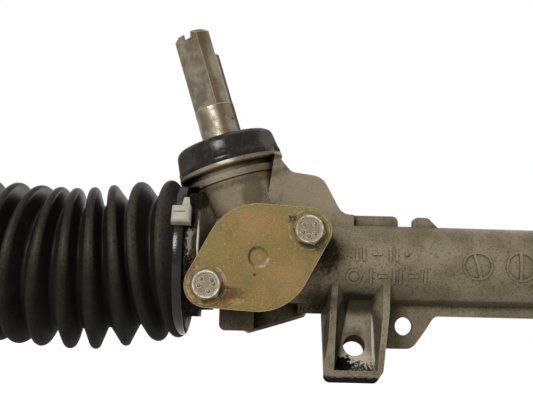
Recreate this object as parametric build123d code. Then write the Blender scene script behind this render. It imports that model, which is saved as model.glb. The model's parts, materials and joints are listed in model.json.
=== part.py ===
"""Manual rack-and-pinion steering rack, drive side seen from the yoke cover.

Modelled in the rack frame: X along the rack, Y towards the pinion, Z up, zero where the
pinion axis crosses the rack axis. place() moves it so that zero is the drive-side mounting bore.
"""
from build123d import *
from math import acos, atan, cos, degrees, pi, radians, sin, sqrt, tan
import os

os.makedirs("parts", exist_ok=True)

# --- gear pair (mm, degrees) ---
teeth = 7
module = 1.9
pressure_angle = 20.0
helix = 17.5  # the pinion leans by its own helix, so the rack teeth stand square to the bar
tip_radius = 9.5
root_radius = 5.6
rack_addendum = 1.88
rack_dedendum = 1.82
profile_shift = 0.53
backlash = 0.08
pinion_face = 26.0
rack_gaps_each_way = 14

# --- rack bar and travel ---
rack_radius = 12.0
travel = 68.0
pinion_to_centre = 193.0
stop_length = 6.0
stop_radius = 17.0
stop_reserve = 0.5
end_thread_radius = 8.0
end_thread_length = 20.0

# --- housing ---
tube_radius = 20.0
tube_middle_radius = 19.2
bore_radius = 14.5
drive_end = 41.5  # from the pinion's crossing to the drive end's face
seat_radius = 34.0
seat_length = 11.0
seat_depth = 6.5
seat_wall = 4.0
seat_flat = 27.5  # the drive end's flange is cut off flat below the axis
neck_flat = 24.0
flange_radius = 35.0
flange_length = 2.2
neck_radius = 22.5
boot_clearance_radius = 37.4
cuff_length = 6.6
rib_thickness = 5.0
rib_height = 24.7
bush_length = 20.0
bush_from_stop = 12.0

# --- pinion tower, heights along the pinion axis from the rack axis ---
tower_radius = 24.5
lower_boss_radius = 16.5
lower_boss_end = -32.4
foot_bottom = -33.8
tower_shoulder = 8.0
band_low = 43.2
band_high = 47.0
collar_low = 50.2
collar_top = 52.5
collar_radius = 27.6
spigot_radius = 23.9
spigot_top = 58.0
chamber_radius = 11.0

# --- pinion shaft, bearings and seal ---
pilot_radius = 5.0
pilot_end = -27.0
lower_bush_radius = 7.0
bearing_bore = 10.0
bearing_outer = 18.5
bearing_low = 18.0
bearing_width = 9.0
ball_radius = 2.4
ball_count = 8
ball_circle = 14.25
shoulder_radius = 11.8
shoulder_length = 2.4
circlip_thickness = 1.75
circlip_depth = 1.2
seal_width = 7.0
shaft_radius = 10.5
journal_radius = 10.8
journal_top = 67.5
coupling_radius = 10.3  # the keyed end is ground a little under the round part below it
shaft_top = 127.5
flat_from = 85.5
flat_distance = 6.7
flat_turn = 40.0
relief_from = 112.6
relief_depth = 3.1
slot_width = 3.2
slot_depth = 3.0
slot_offset = -3.2

# --- dust cap ---
cap_skirt_radius = 27.1
cap_shoulder_radius = 26.0
cap_height = 14.0
cap_wall = 2.2

# --- rack support yoke and its cover ---
yoke_radius = 16.0
yoke_back = 6.0
yoke_front = 33.0
liner_thickness = 0.8
seal_ring_width = 2.5
seal_ring_depth = 2.4
disc_radius = 11.5
disc_hole = 5.6
disc_thickness = 1.0
disc_count = 4
yoke_boss_radius = 24.2
cover_face = 40.5
cover_thickness = 4.0
gasket_thickness = 0.5
cover_radius = 24.8
ear_radius = 10.5
bolt_spacing = 53.2
cover_turn = 29.4
bolt_radius = 4.0
bolt_grip = 18.0
bolt_head = 5.3
bolt_flats = 13.0
dimple_radius = 4.85
dimple_depth = 1.0
cover_flange = 10.0

# --- mounting lugs ---
lug_x = 46.7
lug_z = -39.34
lug_tilt = 20.0
lug_bore_radius = 5.25
lug_wall = 10.0
lug_channel = 10.0
lug_rib = 3.0
lug_rise = 34.0  # from the bore to the lug's hidden top, inside the tube
lug_drop = 17.8  # from the bore to the front of its bottom edge
lug_back_drop = 15.6
lug_left = 14.2  # half widths at the bottom, then at the waist and the top
lug_right = 11.9
lug_waist = (16.2, 13.0)
lug_top_right = 17.6
lug_top_left_front = 10.4
lug_top_left_back = 15.6
lug_lip = 2.2
lug_corner = 3.0
lug_front = 12.84  # distance of the lug's front edges from the rack axis, square to the tilt
ear_hole = (72.6, -29.9)
ear_hole_radius = 4.5
ear_thickness = 6.0
ear_bottom = -41.0

# --- inner ball joints and tie rods, distances outward from the rack's end face ---
washer_thickness = 1.6
washer_radius = 16.0
socket_radius = 19.0
socket_flats = 34.0
ball_centre = 26.0
rod_ball_radius = 12.5
seat_shell = 1.5
mouth_length = 10.0
rod_neck_radius = 6.4
rod_radius = 7.25
rod_thread_radius = 7.0
rod_thread_pitch_radius = 6.51  # where the locknut's thread and the rod's interlock
rod_length = 290.0
rod_thread_length = 60.0
locknut_flats = 21.0
locknut_height = 11.0
locknut_place = 255.0
neck_reserve = 0.3

# --- bellows, straps and clips, distances from the middle of the rack ---
bellows_radius = 39.5
bellows_wall = 1.6
bellows_shoulder = 2.6
bellows_length = 160.0
bellows_taper = 46.0
cuff_radius = 35.8
small_cuff_radius = 10.0
small_cuff_length = 12.0
strap_width = 4.6
strap_thickness = 1.0
strap_inset = 3.9  # middle of the strap, in from the tube's end
strap_head = (9.3, 10.0, 5.2)
strap_head_inset = 5.1
strap_head_angle = 35.0  # above the axis, on the cover's side
strap_tail_angle = 17.0
clip_thickness = 1.2
clip_width = 5.0

# --- fits ---
running_fit = 0.05
seated_fit = 0.02
thread_fit = 0.05

# --- worked out from the above ---
lean = radians(helix)
pitch = pi * module
transverse_angle = atan(tan(radians(pressure_angle)) / cos(lean))
pitch_radius = module * teeth / (2 * cos(lean))
base_radius = pitch_radius * cos(transverse_angle)
reference_line = pitch_radius + profile_shift * module
rack_tip = rack_radius * 2 / 3
rack_reference = rack_tip - rack_addendum
rack_root = rack_reference - rack_dedendum
pinion_offset = rack_reference + reference_line
half_length = pinion_to_centre + drive_end
stop_face = half_length - seat_depth
strap_place = half_length - strap_inset
strap_head_place = half_length - strap_head_inset
rack_half = stop_face + travel + stop_reserve + stop_length
bearing_high = bearing_low + bearing_width
circlip_low = bearing_high
seal_low = circlip_low + circlip_thickness + 3.0
cover_back = cover_face - cover_thickness
boss_face = cover_back - gasket_thickness
disc_floor = cover_back - 1.9 * disc_count * disc_thickness
liner_outer = rack_radius + running_fit + liner_thickness
tilt = radians(lug_tilt)
lug_y = -(lug_front - lug_channel - lug_z * sin(tilt)) / cos(tilt)
drive_bore = Vector(lug_x, lug_y, lug_z)

pinion_axis = (-sin(lean), 0, cos(lean))

pinion_plane = Plane((0, pinion_offset, 0), x_dir=(cos(lean), 0, sin(lean)), z_dir=pinion_axis)
front_plane = Plane((0, 0, 0), x_dir=(1, 0, 0), z_dir=(0, -1, 0))
lug_plane = Plane(drive_bore, x_dir=(1, 0, 0), z_dir=(0, -cos(tilt), sin(tilt)))
rack_plane = Plane((0, 0, 0), x_dir=(0, 1, 0), z_dir=(1, 0, 0))
mirror_plane = Plane((pinion_to_centre, 0, 0), x_dir=(0, 1, 0), z_dir=(1, 0, 0))
sides = {"left": -1, "right": 1}


def outward(side):
    """Plane at the rack's middle whose Z points out of the named end."""
    return Plane((pinion_to_centre, 0, 0), x_dir=(0, -1, 0), z_dir=(sides[side], 0, 0))


def turned(*points):
    """Solid of revolution about Z through (radius, height) points."""
    return revolve(Plane.XZ * make_face(Polyline(*points, close=True)), Axis.Z)


def rod_between(low, high, radius):
    """Cylinder on Z between two heights."""
    return Pos(0, 0, low) * Cylinder(radius, high - low, align=(Align.CENTER, Align.CENTER, Align.MIN))


def ring_between(low, high, outer, inner):
    """Plain ring on Z between two heights."""
    return rod_between(low, high, outer) - rod_between(low - 1, high + 1, inner)


def block_between(low, high):
    """Box between two corner points."""
    size = Vector(*high) - Vector(*low)
    return Pos(*low) * Box(*size, align=(Align.MIN, Align.MIN, Align.MIN))


# --- gear pair ---


def involute(angle):
    return tan(angle) - angle


def tooth_half_angle(radius):
    """Half of a pinion tooth's thickness at a radius, as an angle."""
    thickness = module * (pi / 2 + 2 * profile_shift * tan(radians(pressure_angle))) / cos(lean)
    at_pitch = thickness / (2 * pitch_radius) + involute(transverse_angle)
    return at_pitch - involute(acos(min(1.0, base_radius / radius)))


def polar(radius, angle):
    return (radius * cos(angle), radius * sin(angle))


def pinion_section():
    """Transverse section of the pinion, with one tooth pointing at the rack."""
    flank_radii = [base_radius + (tip_radius - base_radius) * (step / 6) ** 1.5 for step in range(7)]
    root_half = tooth_half_angle(base_radius)
    step_angle = 2 * pi / teeth
    edges = []
    for number in range(teeth):
        middle = -pi / 2 + number * step_angle
        left = [polar(r, middle - tooth_half_angle(r)) for r in flank_radii]
        right = [polar(r, middle + tooth_half_angle(r)) for r in flank_radii]
        root_start = polar(root_radius, middle + root_half)
        root_middle = polar(root_radius, middle + step_angle / 2)
        root_end = polar(root_radius, middle + step_angle - root_half)
        edges += [
            Line(polar(root_radius, middle - root_half), left[0]),
            Spline(*left),
            ThreePointArc(left[-1], polar(tip_radius, middle), right[-1]),
            Spline(*right[::-1]),
            Line(right[0], root_start),
            ThreePointArc(root_start, root_middle, root_end),
        ]
    return make_face(edges)


def pinion_gear():
    turn = degrees(pinion_face * tan(lean) / pitch_radius)
    face = (Pos(0, 0, -pinion_face / 2) * Rot(0, 0, -turn / 2) * pinion_section()).face()
    return Solid.extrude_linear_with_rotation(face, (0, 0, -pinion_face / 2), (0, 0, pinion_face), turn)


def pinion_shaft():
    """Pinion and shaft in one piece, with the coupling flat, relief and slot at the top."""
    shaft = turned(
        (0, pilot_end),
        (pilot_radius - 0.6, pilot_end),
        (pilot_radius, pilot_end + 0.6),
        (pilot_radius, pinion_face / 2 + 0.5),
        (bearing_bore, pinion_face / 2),
        (bearing_bore, bearing_high),
        (shoulder_radius, bearing_high),
        (shoulder_radius, bearing_high + shoulder_length),
        (journal_radius, bearing_high + shoulder_length),
        (journal_radius, journal_top),
        (shaft_radius, journal_top + journal_radius - shaft_radius),
        (shaft_radius, flat_from - shaft_radius + coupling_radius),
        (coupling_radius, flat_from),
        (coupling_radius, shaft_top - 2.0),
        (coupling_radius - 2.3, shaft_top),
        (0, shaft_top),
    )
    shaft += pinion_gear()
    beyond = shaft_top + 5
    flat = Rot(0, 0, -90 - flat_turn) * block_between((flat_distance, -20, flat_from), (20, 20, beyond))
    relief = Rot(0, 0, 10) * block_between((shaft_radius - relief_depth, -20, relief_from), (20, 20, beyond))
    slot = block_between((-slot_width / 2, -20, shaft_top - slot_depth), (slot_width / 2, 20, beyond))
    slot = Rot(0, 0, 5) * Pos(slot_offset, 0, 0) * slot
    return pinion_plane * (shaft - flat - relief - slot)


def rack_gap(number):
    """Space between two rack teeth, square to the bar."""
    slope = tan(radians(pressure_angle))
    half = pitch / 4 + backlash / 2
    over = rack_tip + 1
    low = half - (rack_reference - rack_root) * slope
    high = half + (over - rack_reference) * slope
    outline = Polyline((-low, rack_root), (low, rack_root), (high, over), (-high, over), close=True)
    return Pos(number * pitch, 0, 0) * extrude(make_face(outline), rack_radius + 1, both=True)


def rack_bar():
    bar = turned(
        (0, -rack_half),
        (rack_radius - 1.5, -rack_half),
        (rack_radius, -rack_half + 1.5),
        (rack_radius, rack_half - 1.5),
        (rack_radius - 1.5, rack_half),
        (0, rack_half),
    )
    thread = Cylinder(end_thread_radius + thread_fit, 2 * (end_thread_length + 2))
    bar -= [Pos(0, 0, end * rack_half) * thread for end in (-1, 1)]
    bar = outward("right") * bar
    reach = (rack_gaps_each_way + 0.5) * pitch
    land = block_between((-reach, rack_tip, -rack_radius - 1), (reach, rack_radius + 1, rack_radius + 1))
    gaps = [rack_gap(number) for number in range(-rack_gaps_each_way, rack_gaps_each_way + 1)]
    return bar - land - gaps


# --- housing ---


def tube_body():
    """Turned form of the tube with its two bellows seats, about the rack axis."""
    seat_start = half_length - seat_length
    flange_start = seat_start - flange_length
    half = [
        (seat_radius - 1.0, half_length),
        (seat_radius, half_length - 1.0),
        (seat_radius, seat_start),
        (flange_radius, seat_start),
        (flange_radius, flange_start),
        (neck_radius, flange_start - 7),
        (neck_radius, flange_start - 10),
        (tube_radius, flange_start - 30),
        (tube_radius, flange_start - 60),
    ]
    points = [(0, half_length)] + half + [(tube_middle_radius, 0)]
    points += [(radius, -height) for radius, height in half[::-1]] + [(0, -half_length)]
    return outward("right") * turned(*points)


def cover_outline(shrink=0.0):
    """Rhomboid outline of the yoke cover: a round middle drawn out to the two bolt ears."""
    reach = bolt_spacing / 2
    shape = Circle(cover_radius - shrink)
    tangent = acos((cover_radius - ear_radius) / reach)
    outer = cover_radius - shrink
    ear = ear_radius - shrink
    for end in (0, pi):
        centre = polar(reach, end)
        corners = [
            polar(outer, end + tangent),
            tuple(a + b for a, b in zip(centre, polar(ear, end + tangent))),
            tuple(a + b for a, b in zip(centre, polar(ear, end - tangent))),
            polar(outer, end - tangent),
            (0, 0),
        ]
        shape += make_face(Polyline(*corners, close=True))
        shape += Pos(*centre) * Circle(ear)
    return Rot(0, 0, cover_turn) * shape


def bolt_places():
    return [polar(end * bolt_spacing / 2, radians(cover_turn)) for end in (-1, 1)]


def yoke_boss():
    """Boss that holds the support yoke, with the machined face for its cover."""
    boss = rod_between(0, boss_face - cover_flange, yoke_boss_radius)
    boss += extrude(Pos(0, 0, boss_face - cover_flange) * cover_outline(0.6), cover_flange)
    foot = boss_face - bolt_grip - 6
    radius = ear_radius - 1
    high = boss_face - 1
    column = turned((0, foot - 12), (3, foot - 10), (radius, foot), (radius, high), (0, high))
    boss += [Pos(*place, 0) * column for place in bolt_places()]
    return front_plane * boss


def pinion_tower():
    tower = turned(
        (0, -pinion_face / 2),
        (lower_boss_radius, -pinion_face / 2),
        (lower_boss_radius, tower_shoulder),
        (tower_radius, tower_shoulder + 8),
        (tower_radius, band_low),
        (tower_radius + 1.2, band_low + 0.6),
        (tower_radius + 1.2, band_high),
        (tower_radius - 0.4, band_high + 0.6),
        (tower_radius - 0.4, collar_low - 0.6),
        (collar_radius - 0.6, collar_low),
        (collar_radius, collar_low + 0.6),
        (collar_radius, collar_top),
        (spigot_radius, collar_top),
        (spigot_radius, spigot_top - 1),
        (spigot_radius - 1, spigot_top),
        (0, spigot_top),
    )
    return pinion_plane * tower


def lower_boss():
    """Closed boss round the pinion's lower bush."""
    boss = turned(
        (0, lower_boss_end),
        (lower_boss_radius - 1.5, lower_boss_end),
        (lower_boss_radius, lower_boss_end + 1.5),
        (lower_boss_radius, 0),
        (0, 0),
    )
    return pinion_plane * boss


def gusset():
    """Web between the tower's collar and the tube's top flange."""
    start = (7, 55.6)
    end = (47, rib_height)
    outline = FilletPolyline(start, (15.4, 45.6), (31, 43.5), (41.2, rib_height), end, radius=(4.5, 9, 7))
    web = make_face([outline, Polyline(end, (47, 5), (0, 5), start)])
    return Plane.XZ.offset(-1) * extrude(web, 7)


def foot_block():
    """Squared foot under the yoke boss."""
    foot = block_between((-18, -20, foot_bottom), (-1.6, 16, -14))
    edges = foot.edges().filter_by(Axis.Y).sort_by(Axis.Z)[:2].sort_by(Axis.X)
    return fillet(edges[0], 3)


def tube_ribs():
    """Parting-line rib under the tube, and the flange and tab on top of it."""
    far = 2 * pinion_to_centre
    half = rib_thickness / 2
    bottom = block_between((20, -half, -rib_height), (far - 20, half, 0))
    flange = block_between((41, -half, 0), (69.5, half, rib_height))
    flange = fillet(flange.edges().filter_by(Axis.Y).group_by(Axis.Z)[-1].sort_by(Axis.X)[-1], 3)
    tab_outline = FilletPolyline((77, 0), (77, 24.4), (84.5, 24.4), (92, 17), (92, 0), radius=(2.5, 3, 1))
    tab = make_face([tab_outline, Line((92, 0), (77, 0))])
    return bottom + flange + Plane.XZ.offset(-half) * extrude(tab, 2 * half)


def lug_outline(top_left, drop):
    """Outside of the lug at one depth: upright on the left, drawn in below its waist on the right."""
    waist, height = lug_waist
    left = [(-top_left, lug_rise), (-lug_left, -drop)]
    right = [(lug_right, -drop), (waist, height), (lug_top_right, lug_rise)]
    return Polyline(*left, *right, close=True)


def lug_channel_cut():
    """Drafted channel between the lug's two ribs, down to the floor that carries the bore."""
    waist, height = lug_waist
    over = lug_rise + 5
    front = Polyline(
        (lug_rib - lug_top_left_front, over),
        (lug_rib - lug_left + 0.5, lug_lip - lug_drop),
        (lug_right - lug_rib + 0.6, lug_lip - lug_drop),
        (waist - lug_rib, height),
        (lug_top_right - lug_rib, over),
        close=True,
    )
    floor_right = lug_right - lug_rib - 0.3
    floor = Polyline(
        (1.3, over),
        (lug_rib - lug_left + 1.4, lug_lip + 1 - lug_drop),
        (floor_right, lug_lip + 1 - lug_drop),
        (floor_right, height),
        (floor_right, over),
        close=True,
    )
    return loft([Pos(0, 0, lug_channel + 0.01) * make_face(front), make_face(floor)])


def mounting_lug():
    """Channel-shaped lug, tilted forward, with the bolt bore through its floor."""
    back = make_face(lug_outline(lug_top_left_back, lug_back_drop))
    front = make_face(lug_outline(lug_top_left_front, lug_drop))
    body = loft([Pos(0, 0, -lug_wall) * back, Pos(0, 0, lug_channel) * front])
    corners = body.edges().filter_by(lambda edge: abs(edge.length - lug_wall - lug_channel) < 1.0)
    body = fillet(corners.sort_by(Axis.Y)[:2], lug_corner)
    return lug_plane * (body - lug_channel_cut())


def rear_ear():
    """Flat ear behind the lug with a plain hole."""
    root = -rib_height
    start = (60, -18)
    end = (96, -18)
    low = [(60, ear_bottom), (76.5, ear_bottom), (83.2, root - 7)]
    outline = FilletPolyline(start, *low, (87.6, root), (96, root), end, radius=(2, 6, 7, 4, 0.5))
    ear = make_face([outline, Line(end, start)])
    return Plane.XZ.offset(-ear_thickness / 2) * extrude(ear, ear_thickness)


def housing_hollows():
    """Everything that is bored out of the casting."""
    rack_way = outward("right") * (
        rod_between(-half_length - 1, half_length + 1, bore_radius)
        + rod_between(stop_face, half_length + 1, seat_radius - seat_wall)
        + rod_between(-half_length - 1, -stop_face, seat_radius - seat_wall)
    )
    pinion_way = pinion_plane * (
        rod_between(pilot_end - 0.5, 0, lower_bush_radius + seated_fit)
        + rod_between(-pinion_face / 2 - 1, bearing_low, chamber_radius)
        + rod_between(bearing_low, spigot_top + 1, bearing_outer + seated_fit)
        + rod_between(circlip_low, circlip_low + circlip_thickness + 0.1, bearing_outer + circlip_depth + 0.1)
    )
    yoke_way = front_plane * rod_between(0, boss_face + 1, yoke_radius + running_fit)
    bolt_hole = rod_between(boss_face - bolt_grip - 2, boss_face + 1, bolt_radius + thread_fit)
    bolt_ways = [front_plane * Pos(*place, 0) * bolt_hole for place in bolt_places()]
    lug_way = lug_plane * rod_between(-lug_wall - 5, 5, lug_bore_radius)
    far_lug_way = mirror(lug_way, mirror_plane)
    ear_way = Plane.XZ * Pos(*ear_hole, 0) * Cylinder(ear_hole_radius, 4 * ear_thickness)
    return [rack_way, pinion_way, yoke_way, *bolt_ways, lug_way, far_lug_way, ear_way]


def under_flats():
    """Flats under the drive end's flange and neck."""
    end = pinion_to_centre - half_length
    cuff = end + cuff_length + 0.2
    flange = end + seat_length + flange_length
    return [
        block_between((cuff, -50, -50), (flange, 50, -seat_flat)),
        block_between((flange - 1.2, -50, -50), (flange + 16, 50, -neck_flat)),
    ]


def boot_clearance():
    """Room turned round each bellows seat for the cuff and its strap."""
    ring = ring_between(half_length - seat_length, half_length + 5, boot_clearance_radius, seat_radius)
    return [outward(side) * ring for side in sides]


def housing():
    lug = mounting_lug()
    far_lug = mirror(lug, mirror_plane)
    casting = tube_body() + tube_ribs() + lug + far_lug + rear_ear()
    casting += pinion_tower() + gusset()
    casting = casting - under_flats() + yoke_boss() + foot_block() + lower_boss()
    return casting - housing_hollows() - boot_clearance()


def rack_bush():
    """Slit guide bush in the far end of the tube."""
    high = stop_face - bush_from_stop
    bush = ring_between(high - bush_length, high, bore_radius - seated_fit, rack_radius + running_fit)
    slit = block_between((0, -1, high - bush_length - 1), (bore_radius + 1, 1, high - 4))
    return outward("right") * (bush - slit)


# --- pinion bearings, seal and cap ---


def bearing_balls():
    middle = pinion_plane * Pos(0, 0, bearing_low + bearing_width / 2)
    ball = Pos(ball_circle, 0, 0) * Sphere(ball_radius)
    return [middle * Rot(0, 0, number * 360 / ball_count) * ball for number in range(ball_count)]


def bearing_race(outer, inner):
    groove = Pos(0, 0, bearing_low + bearing_width / 2) * Torus(ball_circle, ball_radius + seated_fit)
    return pinion_plane * (ring_between(bearing_low, bearing_high, outer, inner) - groove)


def circlip():
    outer = bearing_outer + circlip_depth
    low = circlip_low + 0.05
    ring = ring_between(low, low + circlip_thickness - 0.1, outer, bearing_outer - 2.0)
    gap = block_between((0, -3, low - 1), (outer + 1, 3, low + 3))
    places = [Rot(0, 0, turn) * Pos(bearing_outer - 3.0, 0, low) for turn in (-16, 16)]
    lugs = [place * rod_between(0, circlip_thickness - 0.1, 2.2) for place in places]
    holes = [place * rod_between(-1, 3, 0.9) for place in places]
    return pinion_plane * (ring - gap + lugs - holes)


def pinion_seal():
    high = seal_low + seal_width
    outer = bearing_outer - seated_fit
    lip = journal_radius + running_fit
    seal = turned(
        (outer, seal_low),
        (outer, high),
        (lip + 1.6, high),
        (lip, high - 1.4),
        (lip, high - 2.2),
        (lip + 2.0, high - 3.2),
        (lip + 2.0, high - 1.8),
        (outer - 3, high - 1.8),
        (outer - 2, seal_low),
    )
    return pinion_plane * seal


def lower_bush():
    high = -pinion_face / 2 - 1.2
    return pinion_plane * ring_between(pilot_end, high, lower_bush_radius, pilot_radius + running_fit)


def dust_cap():
    """Moulded cap pressed over the tower's spigot, with a lip at the shaft."""
    top = collar_top + cap_height
    lip = journal_radius + running_fit
    cap = turned(
        (spigot_radius + seated_fit, collar_top),
        (cap_skirt_radius, collar_top),
        (cap_skirt_radius, collar_top + 5.2),
        (cap_shoulder_radius, collar_top + 6.4),
        (cap_shoulder_radius, top - 4.5),
        (cap_shoulder_radius - 1.2, top - 1.6),
        (cap_shoulder_radius - 4, top - 0.4),
        (cap_shoulder_radius - 7, top),
        (lip + 2.4, top),
        (lip, top - 0.9),
        (lip, top - 3.4),
        (lip + 3, top - cap_wall - 0.4),
        (cap_shoulder_radius - 6, top - cap_wall),
        (spigot_radius + seated_fit - 1.2, top - cap_wall - 2.6),
        (spigot_radius + seated_fit, top - cap_wall - 5),
    )
    return pinion_plane * cap


# --- support yoke ---


def ring_groove():
    """Heights of the seal ring's groove on the yoke."""
    high = yoke_front - 2.5
    return high - seal_ring_width, high


def support_yoke():
    low, high = ring_groove()
    yoke = rod_between(yoke_back, yoke_front, yoke_radius)
    yoke -= rod_between(disc_floor, yoke_front + 1, disc_radius + 0.5)
    yoke -= ring_between(low - 0.1, high + 0.1, yoke_radius + 1, yoke_radius - seal_ring_depth - 0.1)
    yoke = front_plane * yoke
    return yoke - rack_plane * rod_between(-30, 30, liner_outer + seated_fit)


def yoke_liner():
    """Plastic shell between the yoke's cradle and the bar."""
    half = yoke_radius - 3
    shell = ring_between(-half, half, liner_outer, rack_radius + running_fit)
    return rack_plane * shell - block_between((-30, -yoke_back - 0.6, -20), (30, 20, 20))


def yoke_seal_ring():
    low, high = ring_groove()
    return front_plane * ring_between(low, high, yoke_radius + running_fit / 2, yoke_radius - seal_ring_depth)


def disc_springs():
    """Dished springs stacked face about between the yoke's recess and the cover."""
    step = (cover_back - disc_floor - seated_fit) / disc_count
    rise = step - disc_thickness
    discs = []
    for number in range(disc_count):
        inner_low, outer_low = (rise, 0) if number % 2 == 0 else (0, rise)
        disc = turned(
            (disc_hole, inner_low),
            (disc_radius, outer_low),
            (disc_radius, outer_low + disc_thickness),
            (disc_hole, inner_low + disc_thickness),
        )
        discs.append(front_plane * Pos(0, 0, disc_floor + seated_fit / 2 + number * step) * disc)
    return discs


def yoke_cover():
    cover = extrude(cover_outline(), cover_thickness)
    cover -= [Pos(*place, 0) * Cylinder(bolt_radius + 0.3, 4 * cover_thickness) for place in bolt_places()]
    cover -= rod_between(cover_thickness - dimple_depth, cover_thickness + 1, dimple_radius)
    return front_plane * Pos(0, 0, cover_back) * cover


def cover_gasket():
    gasket = extrude(cover_outline(0.6), gasket_thickness)
    gasket -= [Pos(*place, 0) * Cylinder(bolt_radius + 0.3, 4) for place in bolt_places()]
    gasket -= Cylinder(yoke_radius + 0.5, 4)
    return front_plane * Pos(0, 0, boss_face) * gasket - boot_clearance()


def cover_bolt():
    """Hexagon bolt with its bearing face at zero."""
    across = bolt_flats / 2
    head = extrude(RegularPolygon(across, 6, major_radius=False), bolt_head)
    corner = across / cos(pi / 6)
    top = [(corner, bolt_head - 1.0), (across - 0.4, bolt_head), (0, bolt_head)]
    head &= turned((0, 0), (corner - 0.6, 0), (corner, 0.5), *top)
    tip = [(0, -bolt_grip), (bolt_radius - 0.8, -bolt_grip), (bolt_radius, 0.8 - bolt_grip)]
    shank = turned(*tip, (bolt_radius, 1), (0, 1))
    return head + shank


def cover_bolts():
    bolt = cover_bolt()
    low, high = bolt_places()
    places = [Pos(*low, cover_face) * Rot(0, 0, 12), Pos(*high, cover_face) * Rot(0, 0, 47)]
    return [front_plane * place * bolt for place in places]


# --- ends: stops, ball joints, tie rods ---


def rack_stop(side):
    inner = rack_radius + seated_fit
    return outward(side) * ring_between(rack_half - stop_length, rack_half, stop_radius, inner)


def lock_washer(side):
    """Plain washer between the rack's end and the ball joint."""
    inner = end_thread_radius + thread_fit
    return outward(side) * ring_between(rack_half, rack_half + washer_thickness, washer_radius, inner)


def ball_place(side):
    return outward(side) * Pos(0, 0, rack_half + ball_centre)


def joint_socket(side):
    """Socket body screwed into the rack's end."""
    start = rack_half + washer_thickness
    end = rack_half + ball_centre + mouth_length
    rim = socket_radius - 4
    body = turned(
        (0, rack_half - end_thread_length),
        (end_thread_radius - 1, rack_half - end_thread_length),
        (end_thread_radius, rack_half - end_thread_length + 1),
        (end_thread_radius, start),
        (socket_radius - 1, start),
        (socket_radius, start + 1),
        (socket_radius, end - 6),
        (rim, end),
        (0, end),
    )
    for turn in (0, 180):
        wall = socket_flats / 2
        body -= Rot(0, 0, turn) * block_between((wall, -30, start + 3), (30, 30, start + 12))
    hollow = Pos(0, 0, rack_half + ball_centre) * Sphere(rod_ball_radius + 2 * running_fit + seat_shell)
    mouth = mouth_radius()
    hollow += turned((0, end - 3), (mouth - 0.9, end - 3), (mouth + 0.6, end + 1), (0, end + 1))
    return outward(side) * (body - hollow)


def mouth_radius():
    """Radius of the socket's mouth, where it closes over the seat."""
    outer = rod_ball_radius + 2 * running_fit + seat_shell
    return sqrt(outer**2 - (mouth_length - 1.9) ** 2) + 0.5


def ball_seat(side):
    """Plastic shell round the ball, free to turn in the socket."""
    outer = rod_ball_radius + running_fit + seat_shell
    shell = Sphere(outer) - Sphere(rod_ball_radius + running_fit)
    shell &= rod_between(-8, mouth_length - 2.6, outer + 1)
    return ball_place(side) * shell


def tie_rod(side):
    start = sqrt(rod_ball_radius**2 - rod_neck_radius**2) - 1
    thread_start = rod_length - rod_thread_length
    rod = turned(
        (0, 0),
        (rod_neck_radius, start),
        (rod_neck_radius, start + 12),
        (rod_radius, start + 20),
        (rod_radius, thread_start - 2),
        (rod_thread_radius, thread_start),
        (rod_thread_radius, locknut_place - neck_reserve),
        (rod_thread_pitch_radius, locknut_place - neck_reserve),
        (rod_thread_pitch_radius, locknut_place + locknut_height + neck_reserve),
        (rod_thread_radius, locknut_place + locknut_height + neck_reserve),
        (rod_thread_radius, rod_length - 1.5),
        (rod_thread_radius - 1.5, rod_length),
        (0, rod_length),
    )
    flat = rod_radius - 1.1
    for turn in (0, 180):
        rod -= Rot(0, 0, turn) * block_between((flat, -20, thread_start - 18), (20, 20, thread_start - 6))
    return ball_place(side) * (rod + Sphere(rod_ball_radius))


def locknut(side):
    half = locknut_flats / 2
    corner = half / cos(pi / 6)
    nut = extrude(RegularPolygon(half, 6, major_radius=False), locknut_height)
    high = locknut_height
    nut &= turned((0, 0), (half, 0), (corner, 1.3), (corner, high - 1.3), (half, high), (0, high))
    nut -= Cylinder(rod_thread_pitch_radius + thread_fit, 4 * locknut_height)
    return ball_place(side) * Pos(0, 0, locknut_place) * nut


# --- bellows and their fastenings ---


def bellows(side):
    """Boot from the bellows seat to the tie rod, plain and hollow: its folds are flexible."""
    start = half_length - cuff_length
    rise = half_length + 1.4
    end = half_length + bellows_length
    inner_cuff = seat_radius + running_fit
    small_inner = rod_radius + running_fit
    wall = bellows_wall
    boot = turned(
        (cuff_radius, start),
        (cuff_radius, rise - bellows_shoulder),
        (bellows_radius, rise),
        (bellows_radius, end - bellows_taper),
        (small_cuff_radius, end),
        (small_cuff_radius, end + small_cuff_length),
        (small_inner, end + small_cuff_length),
        (small_inner, end),
        (bellows_radius - wall, end - bellows_taper - wall),
        (bellows_radius - wall, rise + wall),
        (inner_cuff, half_length + 0.1),
        (inner_cuff, start),
    )
    return outward(side) * boot


def strap(side):
    low = strap_place - strap_width / 2
    inner = cuff_radius + running_fit
    return outward(side) * ring_between(low, low + strap_width, inner + strap_thickness, inner)


def strap_lock(side):
    """Moulded lock of the strap with the cut end of the strap standing past it."""
    across, along, high = strap_head
    inner = cuff_radius + 2 * running_fit + strap_thickness
    low = (inner + 0.4, -along / 2, strap_head_place - across / 2)
    head = block_between(low, (inner + high, along / 2, strap_head_place + across / 2))
    head = fillet(head.edges().group_by(Axis.X)[-1], 1.0)
    tail_low = strap_place - strap_width / 2
    tail = ring_between(tail_low, tail_low + strap_width, inner + strap_thickness, inner)
    upward = -sides[side]
    keep = Rot(0, 0, upward * strap_tail_angle) * block_between((0, -7, 0), (60, 7, 400))
    lock = head + (tail & keep)
    return outward(side) * Rot(0, 0, upward * strap_head_angle) * lock


def small_clip(side):
    low = half_length + bellows_length + (small_cuff_length - clip_width) / 2
    inner = small_cuff_radius + 0.15
    clip = ring_between(low, low + clip_width, inner + clip_thickness, inner)
    ears = block_between((inner + 0.5, -1.6, low), (inner + 5, 1.6, low + clip_width))
    return outward(side) * (clip + ears)


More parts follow.
